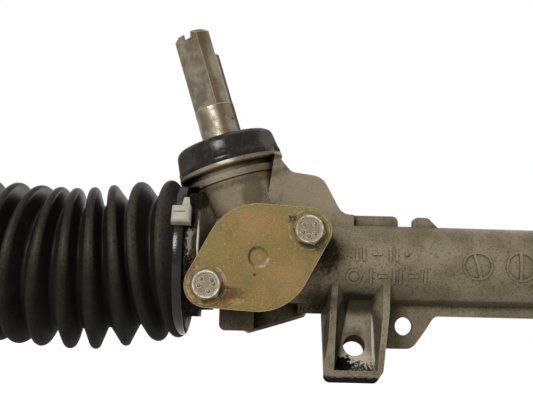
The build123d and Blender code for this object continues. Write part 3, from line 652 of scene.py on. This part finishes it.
# colour, second colour, patch scale, metallic, specular, roughness, dust colour, dust share
plainFinishes = {
    "dark_steel": ((0.04, 0.036, 0.031), (0.062, 0.052, 0.04), 220, 0.5, 0.4, 0.4, "brown", 0.35),
    "bearing_steel": ((0.48, 0.47, 0.45), (0.42, 0.41, 0.39), 200, 0.9, 0.5, 0.18, "olive", 0.1),
    "seal_rubber": ((0.008, 0.007, 0.006), (0.014, 0.012, 0.01), 220, 0, 0.2, 0.5, "brown", 0.3),
    "cap_plastic": ((0.006, 0.005, 0.004), (0.011, 0.009, 0.006), 130, 0, 0.16, 0.2, "brown", 0.3),
    "strap_plastic": ((0.004, 0.004, 0.004), (0.007, 0.006, 0.005), 260, 0, 0.2, 0.16, "brown", 0.15),
    "natural_nylon": ((0.25, 0.25, 0.185), (0.3, 0.29, 0.22), 240, 0, 0.4, 0.4, "olive", 0.35),
    "yoke_metal": ((0.24, 0.23, 0.21), (0.3, 0.29, 0.26), 200, 0.7, 0.5, 0.4, "olive", 0.3),
    "gasket_paper": ((0.07, 0.06, 0.045), (0.1, 0.085, 0.06), 350, 0, 0.2, 0.8, "oil", 0.4),
    "bush_bronze": ((0.38, 0.24, 0.1), (0.33, 0.2, 0.08), 200, 0.8, 0.5, 0.35, "olive", 0.2),
}

plainLook = {
    "patch": (0.35, 0.65),
    "dust": (0.45, 0.75),
    "dustScale": 3.5,  # times the patch scale
    "nook": (0.005, 0.3, 0.9, 0.6),
    "grainScale": 7,
    "bump": (0.12, 0.0003),
    # dust wiped onto single finishes, as casting stains are
    "spots": {
        "cap_plastic": [
            ((-39.3, 4, 49.5), (5, 12, 8), "dust", 0.95, 0.5, 0.8, 500),
            ((4.4, 6, 63.4), (6, 16, 6.4), "clay", 0.97, 0.4, 0.5, 500),
            ((9.6, 10, 59.4), (6, 14, 3.6), "soot", 0.97, 0.3, 0.2, 500),
        ],
    },
}


def makePlain(slotName):
    # two tones in soft patches, a film of dust that is thicker in nooks, there also painted shade, and slight
    # unevenness
    look = plainLook
    first, second, scale, metallic, specular, roughness, dust, share = plainFinishes[slotName]
    words = slotName.split("_")
    material, tree, place = startLook(words[0] + "".join(word.capitalize() for word in words[1:]))
    patch = mottle(tree, place, scale, *look["patch"])
    dusty = mottle(tree, place, scale * look["dustScale"], *look["dust"])
    # the nooks' share is painted shade with dust
    dusty = times(tree, maths(tree, "ADD", dusty, nookShadeAndDirt(tree, *look["nook"])), share)
    colour = mix(tree, dusty, mix(tree, patch, first, second), dust)
    if slotName in look["spots"]:
        colour, grime = addSpots(tree, place, colour, look["spots"][slotName])
        dusty = maths(tree, "MAXIMUM", dusty, grime)
    grain = noise(tree, place, scale * look["grainScale"], detail=3.0)
    roughness = mixValue(tree, dusty, roughness, 1.0)
    return finishLook(material, look, colour, roughness, grain, metallic=metallic, specular=specular)


rubberLook = {
    "plain": (0.0058, 0.005, 0.0038),
    "worn": (0.0095, 0.008, 0.0058),
    "dust": (0.052, 0.043, 0.032),
    "specular": 0.06,
    "patch": (110, 0.35, 0.65),
    "speck": (1100, 0.25, 0.75),
    "dusty": (36.6, 39.4),  # the crests' dust, partly a painted sheen, begins and is full this far from the bar's axis, in mm
    "low": 0.1,  # its share below that
    "lit": (-14, 6),  # it thickens into a painted sheen and the rubber turns glossier between these heights above the axis
    "share": (0.25, 0.85),
    "roughness": (0.8, 0.3),
    "dustRoughness": 0.6,
    "grain": 1500,
    "bump": (0.35, 0.0003),
}


def makeRubber():
    look = rubberLook
    material, tree, place = startLook("bootRubber")
    away = vectors(tree, "SUBTRACT", place, rackMiddle)
    radius = vectors(tree, "LENGTH", vectors(tree, "MULTIPLY", away, (0, 1, 1)))
    height = put(tree, "SeparateXYZ", Vector=away).outputs["Z"]
    lit = ramp(tree, height, *(level * mm for level in look["lit"]))
    crest = ramp(tree, radius, *(level * mm for level in look["dusty"]), look["low"], 1.0)
    speck = mottle(tree, place, *look["speck"])
    # dust on the crests, laid on thicker towards their top as a painted sheen
    dust = times(tree, crest, times(tree, speck, mixValue(tree, lit, *look["share"])))
    plain = mix(tree, mottle(tree, place, *look["patch"]), look["plain"], look["worn"])
    colour = mix(tree, dust, plain, look["dust"])
    glossy = mixValue(tree, lit, *look["roughness"])
    roughness = mixValue(tree, dust, glossy, look["dustRoughness"])
    grain = noise(tree, place, look["grain"], detail=3.0)
    return finishLook(material, look, colour, roughness, grain)


def makeFinishes():
    made = {"cast_aluminium": makeCasting(), "zinc_yellow": makePlate(), "boot_rubber": makeRubber()}
    made |= {"bolt_steel": makeBoltSteel(), "ground_steel": makeGroundSteel()}
    return made | {slotName: makePlain(slotName) for slotName in plainFinishes}


lightSettings = {
    "worldStrength": 0.31,
    "lamps": {  # place and target in metres from the pinion's crossing, size, power in watts
        "key": ((-0.42, -0.95, 0.46), (0, 0, 0), (0.36, 0.36), 12.6),
        "top": ((0, -0.1, 1.2), (0, 0, 0), (0.8, 0.5), 2.4),
        "back": ((0.7, 0.9, 0.5), (0.1, 0, 0), (0.6, 0.6), 6),
    },
}

floorSettings = {
    "drop": 0.13,  # below the part, in metres
    "half": 6,
    "colour": (0.62, 0.61, 0.59),
    "roughness": 0.9,
    "glow": 0.9,
}


def seenStraight(tree):
    # 1 for what the camera sees itself, or in gloss or glass
    path = put(tree, "LightPath").outputs
    seen = maths(tree, "MAXIMUM", path["Is Camera Ray"], path["Is Glossy Ray"])
    return maths(tree, "MAXIMUM", seen, path["Is Transmission Ray"])


def addWorld():
    world = bpy.data.worlds.new("studio")
    world.use_nodes = True
    tree = world.node_tree
    background = tree.nodes["Background"].inputs
    feed(tree, background["Color"], (1, 1, 1))
    feed(tree, background["Strength"], mixValue(tree, seenStraight(tree), lightSettings["worldStrength"], 1.0))
    bpy.context.scene.world = world


def addLamps():
    for name, (place, target, size, power) in lightSettings["lamps"].items():
        data = bpy.data.lights.new(name, "AREA")
        data.shape = "RECTANGLE"
        data.size, data.size_y = size
        data.energy = power
        lamp = addObject(name, data)
        aim = (Vector(target) - Vector(place)).to_track_quat("-Z", "Y").to_matrix().to_4x4()
        lamp.matrix_world = Matrix.Translation(rackPlace(0, 0, 0) + Vector(place)) @ aim


def addFloor():
    settings = floorSettings
    bm = bmesh.new()
    bmesh.ops.create_grid(bm, x_segments=1, y_segments=1, size=settings["half"])
    level = Vector(cadBox[0]).z - settings["drop"]
    bmesh.ops.translate(bm, verts=bm.verts, vec=(rackMiddle.x, rackMiddle.y, level))
    floor = finishMesh(bm, "floor")
    material, tree = startLook("paleFloor")[:2]
    fillShader(material, {
        "Base Color": settings["colour"], "Roughness": settings["roughness"], "Specular IOR Level": 0.0,
        "Emission Color": (1, 1, 1), "Emission Strength": times(tree, seenStraight(tree), settings["glow"]),
    })
    floor.data.materials.append(material)


def finishMesh(bm, name, smooth=None):
    mesh = bpy.data.meshes.new(name)
    bm.to_mesh(mesh)
    bm.free()
    if smooth is not None:
        mesh.shade_smooth()
        mesh.set_sharp_from_angle(angle=radians(smooth))
    return addObject(name, mesh)


def drawRings(bm, segments, stations, where, closed=False):
    # a circle drawn through its stations; where() places a point from a station and an angle
    turn = bm.verts.layers.float.get("turn") or bm.verts.layers.float.new("turn")
    verts = bmesh.ops.create_circle(bm, segments=segments, radius=1.0)["verts"]
    for vert in verts:
        vert[turn] = atan2(vert.co.y, vert.co.x)
        vert.co = where(stations[0], vert[turn])
    first = last = list({edge for vert in verts for edge in vert.link_edges})
    for station in stations[1:]:
        grown = bmesh.ops.extrude_edge_only(bm, edges=last)["geom"]
        for vert in (part for part in grown if isinstance(part, bmesh.types.BMVert)):
            vert.co = where(station, vert[turn])
        last = [part for part in grown if isinstance(part, bmesh.types.BMEdge)]
    if closed:
        bmesh.ops.bridge_loops(bm, edges=first + last)
    return first, last


def finishPiece(bm, name, smooth, finishes, slotName, node=None):
    # a closed piece on the housing, outwards, with its finish
    bmesh.ops.remove_doubles(bm, verts=bm.verts, dist=0.00001)
    bmesh.ops.recalc_face_normals(bm, faces=bm.faces)
    piece = finishMesh(bm, name, smooth)
    piece.data.materials.append(finishes[slotName])
    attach(piece, "housing_body")
    if node:
        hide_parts(node)


bootSizes = {
    "segments": 112,
    "smooth": 50,
    "wall": 1.5,
    # out from the bar's middle, radius, axis height, lean and front tilt, along the cuff to the first fold
    "cuff": [
        (227.9, 34.05, 0, 0, 0), (227.9, 35.3, 0, 0, 0), (228.3, 35.8, 0, 0, 0),
        (232, 35.8, 0, 0, 0), (232.6, 36.3, 0.2, 0.6, 1.5),
    ],
    "crest": (2.5, 4, 18),  # radius of its arc, steps each side of the top and degrees for each
    "root": (1.3, 2, 34),
    # out, crest radius, root radius after it, axis height, lean and front tilt in degrees
    "folds": [
        (234.4, 39.2, 30.6, 1.1, 3.7, 6.6),
        (246.7, 39.6, 30.4, -0.5, 7.5, 6.3),
        (262.1, 40, 30.2, -2.8, 6.5, -4),
        (274.4, 40.3, 30.2, -4.4, 2.8, -5.3),
        (285, 40, 30.2, -4.7, -0.1, -3.3),
        (296, 39.7, 30.2, -4.1, -4.8, 0),
        (306.1, 39.5, 30.2, -3.3, -6.3, 5.4),
        (317.2, 39.5, 30.2, -2.2, -5, 3),
        (329.2, 39.5, 30.2, -1.2, -3, 1),
        (340.4, 39.4, 30, -0.5, -1, 0),
        (351.4, 37.8, 28, 0, 0, 0),
        (361.4, 33.6, 24.6, 0, 0, 0),
        (371, 28.2, 19.6, 0, 0, 0),
        (380, 21.6, 12.4, 0, 0, 0),
    ],
    "meetAfter": (9, 11),  # the boot is cut into three pieces after these folds
    "lastRoot": 384.6,
    "smallCuff": [(388, 9.4), (389.2, 10), (405.9, 10), (406.5, 9.5), (406.5, 7.35)],  # out and radius
    "rightCalm": 0.35,  # share of the left boot's lean, tilt and sag on the right one
    "moves": (235, 387),  # two places out from the bar's middle, near the boot's ends
}


def bootStations(side):
    # out, radius, axis height, lean and tilt along the whole boot, and where its three pieces meet
    sizes = bootSizes
    calm = 1.0 if side == "left" else sizes["rightCalm"]
    folds = [(*radii, z * calm, lean * calm, tilt * calm) for *radii, z, lean, tilt in sizes["folds"]]
    crestRound, crestSteps, crestTurn = sizes["crest"]
    rootRound, rootSteps, rootTurn = sizes["root"]
    stations = list(sizes["cuff"])
    meets = []
    for number, (out, crest, root, *poise) in enumerate(folds):
        for step in range(-crestSteps, crestSteps + 1):
            if number == 0 and step == -crestSteps:
                continue  # the cuff already ends there
            angle = radians(step * crestTurn)
            radius = crest - crestRound + crestRound * cos(angle)
            stations.append((out + crestRound * sin(angle), radius, *poise))
        middle, shared = sizes["lastRoot"], (0, 0, 0)
        if number + 1 < len(folds):
            following = folds[number + 1]
            middle = (out + following[0]) / 2
            shared = [(one + other) / 2 for one, other in zip(poise, following[3:])]
        for step in range(-rootSteps, rootSteps + 1):
            angle = radians(step * rootTurn)
            radius = root + rootRound - rootRound * cos(angle)
            stations.append((middle + rootRound * sin(angle), radius, *shared))
            if step == 0 and number in sizes["meetAfter"]:
                meets.append(len(stations) - 1)
    stations += [(out, radius, 0, 0, 0) for out, radius in sizes["smallCuff"]]
    return stations, meets


def ringPoint(side, station, angle):
    out, radius, z, lean, tilt = station
    y, up = -radius * cos(angle), radius * sin(angle)
    shift = tan(radians(lean)) * up - tan(radians(tilt)) * y  # towards the outer end
    return outPlace(side, out + shift, y, z + up)


def sweptPiece(name, side, stations):
    # a ring drawn out through its stations, then given its wall
    sizes = bootSizes
    bm = bmesh.new()
    drawRings(bm, sizes["segments"], stations, lambda station, angle: ringPoint(side, station, angle))
    bmesh.ops.recalc_face_normals(bm, faces=bm.faces)
    centre = outPlace(side, sum(station[0] for station in stations) / len(stations), 0, 0)
    if sum(face.normal.dot(face.calc_center_median() - centre) for face in bm.faces) < 0:
        bmesh.ops.reverse_faces(bm, faces=bm.faces)
    bmesh.ops.solidify(bm, geom=bm.faces[:], thickness=sizes["wall"] * mm)
    return finishMesh(bm, name, sizes["smooth"])


def addBoots(finishes):
    first, last = bootSizes["moves"]
    for side in ("left", "right"):
        stations, (neckMeet, endMeet) = bootStations(side)
        folds = sweptPiece("bellows_folds_" + side, side, stations[: neckMeet + 1])
        neck = sweptPiece("bellows_neck_" + side, side, stations[neckMeet : endMeet + 1])
        end = sweptPiece("bellows_end_" + side, side, stations[endMeet:])
        outs = (first, stations[neckMeet][0], stations[endMeet][0], last)
        start, neckPlace, endPlace, finish = (outPlace(side, out, 0, 0) for out in outs)
        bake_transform(folds)
        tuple(start)
        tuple(neckPlace)
        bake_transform(neck)
        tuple(neckPlace)
        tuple(endPlace)
        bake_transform(end)
        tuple(endPlace)
        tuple(finish)
        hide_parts("bellows_" + side)
        for piece in (folds, neck, end):
            piece.data.materials.append(finishes["boot_rubber"])


capSizes = {
    "steps": 96,
    "smooth": 38,
    # radius and height along the pinion's axis, in mm
    "profile": [
        (24, 52.5), (27.2, 52.5), (27.3, 52.8), (27.3, 54.9), (27.2, 55.3), (26.9, 55.7), (26, 62.4),
        (25.8, 63.9), (25.1, 65.4), (23.8, 66.3), (20.9, 66.9), (17, 67.1), (14.6, 67.1), (14.1, 66.8),
        (13.4, 67.2), (11.9, 67.3), (11, 66.8), (11, 64), (13.6, 64.5), (19, 64.8), (22.6, 63.2),
        (24, 60.2), (24.2, 58.6),
    ],
}


def addCap(finishes):
    sizes = capSizes
    bm = bmesh.new()
    centre = rackPlace(0, pinionBehind, 0)
    verts = [
        bm.verts.new(centre + (pinionAcross * radius + pinionAxis * height) * mm)
        for radius, height in sizes["profile"]
    ]
    edges = [bm.edges.new(pair) for pair in zip(verts, verts[1:] + verts[:1])]
    bmesh.ops.spin(
        bm, geom=verts + edges, cent=centre, axis=pinionAxis, dvec=(0, 0, 0), angle=2 * pi,
        steps=sizes["steps"], use_merge=True,
    )
    finishPiece(bm, "dust_cap", sizes["smooth"], finishes, "cap_plastic", "pinion_dust_cap")


boltSizes = {
    "segments": 72,
    "smooth": 25,
    "across": 13,
    # shape, radius and height above the cover, from the shank's end to the middle of the head
    "stations": [
        ("round", 3.2, -18), ("round", 4, -17.2), ("round", 4, 0.02), ("round", 6.2, 0.02),
        ("round", 6.2, 0.4), ("six", 0, 0.4), ("chamfer", 0, 0), ("round", 6.1, 5.3), ("round", 5.85, 5.3),
        ("round", 5.1, 5.25), ("round", 4.8, 4.8), ("round", 1.5, 4.8),
    ],
    "chamfer": (6.1, 5.3, 40),  # radius and height where it meets the top, and its slope
    "dotRing": (3.25, 4.8),
    "dot": (0.95, 0.8),
    # place on the cover, turn of the hexagon, and the plain raised dots round the head, in degrees
    "bolts": [
        {"place": (-23.17, -13.06), "turn": 12, "dots": (132, 39, 4, 288, 190)},
        {"place": (23.17, 13.06), "turn": 47, "dots": (140, 45, 205, 262, 318)},
    ],
}


def boltPoint(place, turn, station, angle):
    # a round or six-sided ring; the six-sided top one falls away with the chamfer
    shape, radius, height = station
    if shape != "round":
        sixth = radians(60)
        radius = boltSizes["across"] / 2 / cos(angle % sixth - sixth / 2)
    if shape == "chamfer":
        inner, top, slope = boltSizes["chamfer"]
        height = top - (radius - inner) * tan(radians(slope))
    angle += radians(turn)
    return rackPlace(place[0] + radius * cos(angle), coverFace - height, place[1] + radius * sin(angle))


def addBolts(finishes):
    sizes = boltSizes
    bm = bmesh.new()
    for bolt in sizes["bolts"]:
        place, turn = bolt["place"], bolt["turn"]
        ends = drawRings(
            bm, sizes["segments"], sizes["stations"],
            lambda station, angle: boltPoint(place, turn, station, angle),
        )
        for loop in ends:
            bmesh.ops.contextual_create(bm, geom=loop)
        wide, tall = sizes["dot"]
        shape = Matrix.Diagonal((wide * mm, tall * mm, wide * mm, 1))
        for dot in bolt["dots"]:
            centre = boltPoint(place, 0, ("round", *sizes["dotRing"]), radians(dot))
            matrix = Matrix.Translation(centre) @ shape
            bmesh.ops.create_uvsphere(bm, u_segments=16, v_segments=10, radius=1.0, matrix=matrix)
    finishPiece(bm, "cover_bolts", sizes["smooth"], finishes, "bolt_steel", "yoke_cover_bolts")


dimpleSizes = {
    "segments": 72,
    "smooth": 40,
    "section": [(4.9, 0.02), (3.7, 0.97), (4.9, 0.97)],  # radius and depth in mm of the pressed slope
}


def addDimple(finishes):
    sizes = dimpleSizes
    bm = bmesh.new()

    def where(station, angle):
        radius, depth = station
        return rackPlace(radius * cos(angle), coverFace + depth, radius * sin(angle))

    drawRings(bm, sizes["segments"], sizes["section"], where, True)
    finishPiece(bm, "cover_dimple", sizes["smooth"], finishes, "zinc_yellow")


strapSizes = {
    "segments": 240,
    "smooth": 30,
    # out from the bar's middle and radius, round the strap's section
    "section": [
        (228.3, 35.87), (228.3, 36.5), (228.45, 36.75), (228.8, 36.86), (230.6, 36.9), (232.4, 36.86),
        (232.75, 36.75), (232.9, 36.5), (232.9, 35.87),
    ],
    "crown": 36.7,  # the teeth stand on what is further out than this
    "teeth": (56, 92, 0.45, 1.5),  # from and to, in degrees above the axis in front, their height and pitch
}


def strapPoint(side, station, angle):
    out, radius = station
    low, high, tall, pitch = strapSizes["teeth"]
    above = degrees(angle)
    if radius > strapSizes["crown"] and low < above < high:
        radius += tall * (round(above / pitch) % 2)
    return outPlace(side, out, -radius * cos(angle), radius * sin(angle))


lockSizes = {
    "smooth": 35,
    "turn": 29.8,  # degrees above the axis in front
    "out": 229.4,
    "radius": 36.95,
    "bend": 37,
    "size": (9.3, 8.8, 4.7),
    "round": 2,
    "roundSteps": 4,
    "slit": (-1.8, 3.4, -0.1, 0.35),  # from and to across the strap, from and to along it
    "slitDepth": 0.8,
    "slitInset": 0.05,
    "bendCuts": (-2.4, 2.4),  # along the strap
    # the cut end of the strap stands past the head and narrows to its tip
    "tail": (4.2, 7.8, 1),
    "tailOut": -1.6,
    "tailInside": 0.3,
    "taperFrom": 1.5,
    "taper": 0.55,
    "lift": 1.2,
}


def lockPlace(side, point):
    # across the strap, along it and out from it, in mm, bent onto the strap
    sizes = lockSizes
    radius = sizes["radius"] + point.z
    angle = radians(sizes["turn"]) + point.y / sizes["bend"]
    return outPlace(side, sizes["out"] + point.x, -radius * cos(angle), radius * sin(angle))


def addBlock(bm, middle, size):
    shape = Matrix.Translation(middle) @ Matrix.Diagonal((*size, 1))
    return bmesh.ops.create_cube(bm, size=1.0, matrix=shape)["verts"]


def addLock(finishes, side):
    sizes = lockSizes
    along, high = sizes["size"][1:]
    bm = bmesh.new()
    addBlock(bm, (0, 0, high / 2), sizes["size"])
    upper = [edge for edge in bm.edges if sum(vert.co.z for vert in edge.verts) > high]
    bmesh.ops.bevel(
        bm, geom=upper, offset=sizes["round"], affect="EDGES", segments=sizes["roundSteps"],
        profile=0.5, material=-1,
    )
    left, right, low, top = sizes["slit"]
    cuts = [((1, 0, 0), x) for x in (left, right)] + [((0, 1, 0), y) for y in (low, top, *sizes["bendCuts"])]
    for normal, where in cuts:
        geometry = bm.verts[:] + bm.edges[:] + bm.faces[:]
        bmesh.ops.bisect_plane(bm, geom=geometry, plane_co=Vector(normal) * where, plane_no=normal)
    slit = []
    for face in bm.faces:
        middle = face.calc_center_median()
        if face.normal.z > 0.9 and left < middle.x < right and low < middle.y < top:
            slit.append(face)
    bmesh.ops.inset_region(bm, faces=slit, thickness=sizes["slitInset"], depth=-sizes["slitDepth"])
    length, thick = sizes["tail"][1:]
    centre = sizes["tailOut"]
    tail = addBlock(bm, (centre, along / 2 + length / 2 - sizes["tailInside"], thick / 2), sizes["tail"])
    edges = list({edge for vert in tail for edge in vert.link_edges})
    bmesh.ops.subdivide_edges(bm, edges=edges, cuts=2, use_grid_fill=True)
    for vert in bm.verts:
        past = max(0.0, (vert.co.y - along / 2 - sizes["taperFrom"]) / length)
        vert.co.x = centre + (vert.co.x - centre) * (1 - sizes["taper"] * past)
        vert.co.z += sizes["lift"] * past * past
        vert.co = lockPlace(side, vert.co)
    node = "bellows_strap_lock_" + side
    finishPiece(bm, "strap_lock_" + side, sizes["smooth"], finishes, "natural_nylon", node)


def addStraps(finishes):
    sizes = strapSizes
    for side in ("left", "right"):
        bm = bmesh.new()
        drawRings(
            bm, sizes["segments"], sizes["section"],
            lambda station, angle: strapPoint(side, station, angle), True,
        )
        node = "bellows_strap_" + side
        finishPiece(bm, "strap_" + side, sizes["smooth"], finishes, "strap_plastic", node)
        addLock(finishes, side)


# plain marks raised on the casting: bars, dashes, a dot and rings that say nothing
markSizes = {
    "smooth": 30,
    "high": 0.95,
    "sunk": 0.25,
    "stroke": 1.15,
    "ringTop": 0.8,  # of the stroke's width
    "barCuts": 5,
    "ringSteps": 48,
    # kind, place along the tube in mm, degrees above its middle line, size across and along, and a slant
    "marks": [
        ("ring", 105.5, -0.8, (7.4, 6.9)), ("bar", 105.5, -0.8, (1.4, 12.6), 15),
        ("ring", 126.4, -0.7, (7.4, 7.4)), ("bar", 126.4, -0.7, (1.4, 13)),
        ("bar", 47.4, 12, (1.2, 7)), ("bar", 50.8, 12, (1.2, 7)),
        ("bar", 57.2, 12.2, (4.4, 1.3)), ("bar", 63.6, 12.4, (1.2, 7)),
        ("bar", 66.6, 12.4, (1.2, 7)), ("dot", 71.5, 12.4, (1.2, 1.2)),
        ("ring", 46.1, -19.2, (3.8, 3.8)), ("bar", 54.2, -18.6, (1.2, 7.2)),
        ("bar", 59.8, -18.3, (4.6, 1.3)), ("bar", 65.2, -18, (1.2, 7.2)),
        ("bar", 68.4, -18, (1.2, 7.2)), ("bar", 74.6, -17.4, (4.6, 1.3)),
        ("bar", 80.4, -17, (1.2, 7.2)),
    ],
    "tube": (20, 0.8, 31.7, 161.3),  # radius, and how much it narrows, from where and over what length
}


def tubePlace(x, angle, point):
    # a point beside a mark's middle, bent onto the tube, which narrows a little towards its middle
    full, narrows, start, length = markSizes["tube"]
    radius = full - narrows * max(0.0, x + point.x - start) / length + point.z
    turn = radians(angle) + point.y / full
    return rackPlace(x + point.x, -radius * cos(turn), radius * sin(turn))


def drawMark(bm, kind, size, slant=0):
    # flat at the origin, size across and along
    sizes = markSizes
    wide, along = size
    high, half = sizes["high"], sizes["stroke"] / 2
    if kind == "bar":
        shape = Matrix.Rotation(radians(slant), 4, "Z") @ Matrix.Diagonal((wide, along, high, 1))
        verts = bmesh.ops.create_cube(bm, size=1.0, matrix=shape)["verts"]
        edges = {edge for vert in verts for edge in vert.link_edges}
        lengthwise = [edge for edge in edges if edge.calc_length() > max(size) * 0.9]
        bmesh.ops.subdivide_edges(bm, edges=lengthwise, cuts=sizes["barCuts"])
    elif kind == "dot":
        shape = Matrix.Diagonal((wide, along, high, 1))
        bmesh.ops.create_uvsphere(bm, u_segments=14, v_segments=8, radius=1.0, matrix=shape)
    else:
        top = half * sizes["ringTop"]
        section = [(-half, -high / 2), (-top, high / 2), (top, high / 2), (half, -high / 2)]

        def where(station, turn):
            across, rise = station
            grown = across - half
            return Vector(((wide + grown) * cos(turn), (along + grown) * sin(turn), rise))

        drawRings(bm, sizes["ringSteps"], section, where, True)


def addMarks(finishes):
    sizes = markSizes
    bm = bmesh.new()
    bm.verts.layers.float.new("turn")  # before the next layer, which has to stay valid
    placed = bm.verts.layers.int.new("placed")
    for kind, x, angle, *shape in sizes["marks"]:
        drawMark(bm, kind, *shape)
        for vert in bm.verts:
            if not vert[placed]:
                vert[placed] = 1
                vert.co.z += sizes["high"] / 2 - sizes["sunk"]
                vert.co = tubePlace(x, angle, vert.co)
    bm.verts.layers.int.remove(placed)
    finishPiece(bm, "casting_marks", sizes["smooth"], finishes, "cast_aluminium")


addCamera()
for row in groups:
    buildGroup(*row)
addWorld()
addLamps()
addFloor()
bpy.context.scene.view_settings.view_transform = "Standard"
print("camera and light are in")

finishes = makeFinishes()
slots = {row["node"]: row["material_slot"] for row in frame["record"]["subparts"]}
for name, part in frame["nodes"].items():
    part.material_slots[0].material = finishes[slots[name]]
print("finishes are on")

addBoots(finishes)
print("bellows are on")

for addPiece in (addCap, addBolts, addDimple, addStraps, addMarks):
    addPiece(finishes)
print("cap, bolts, straps and marks are on")
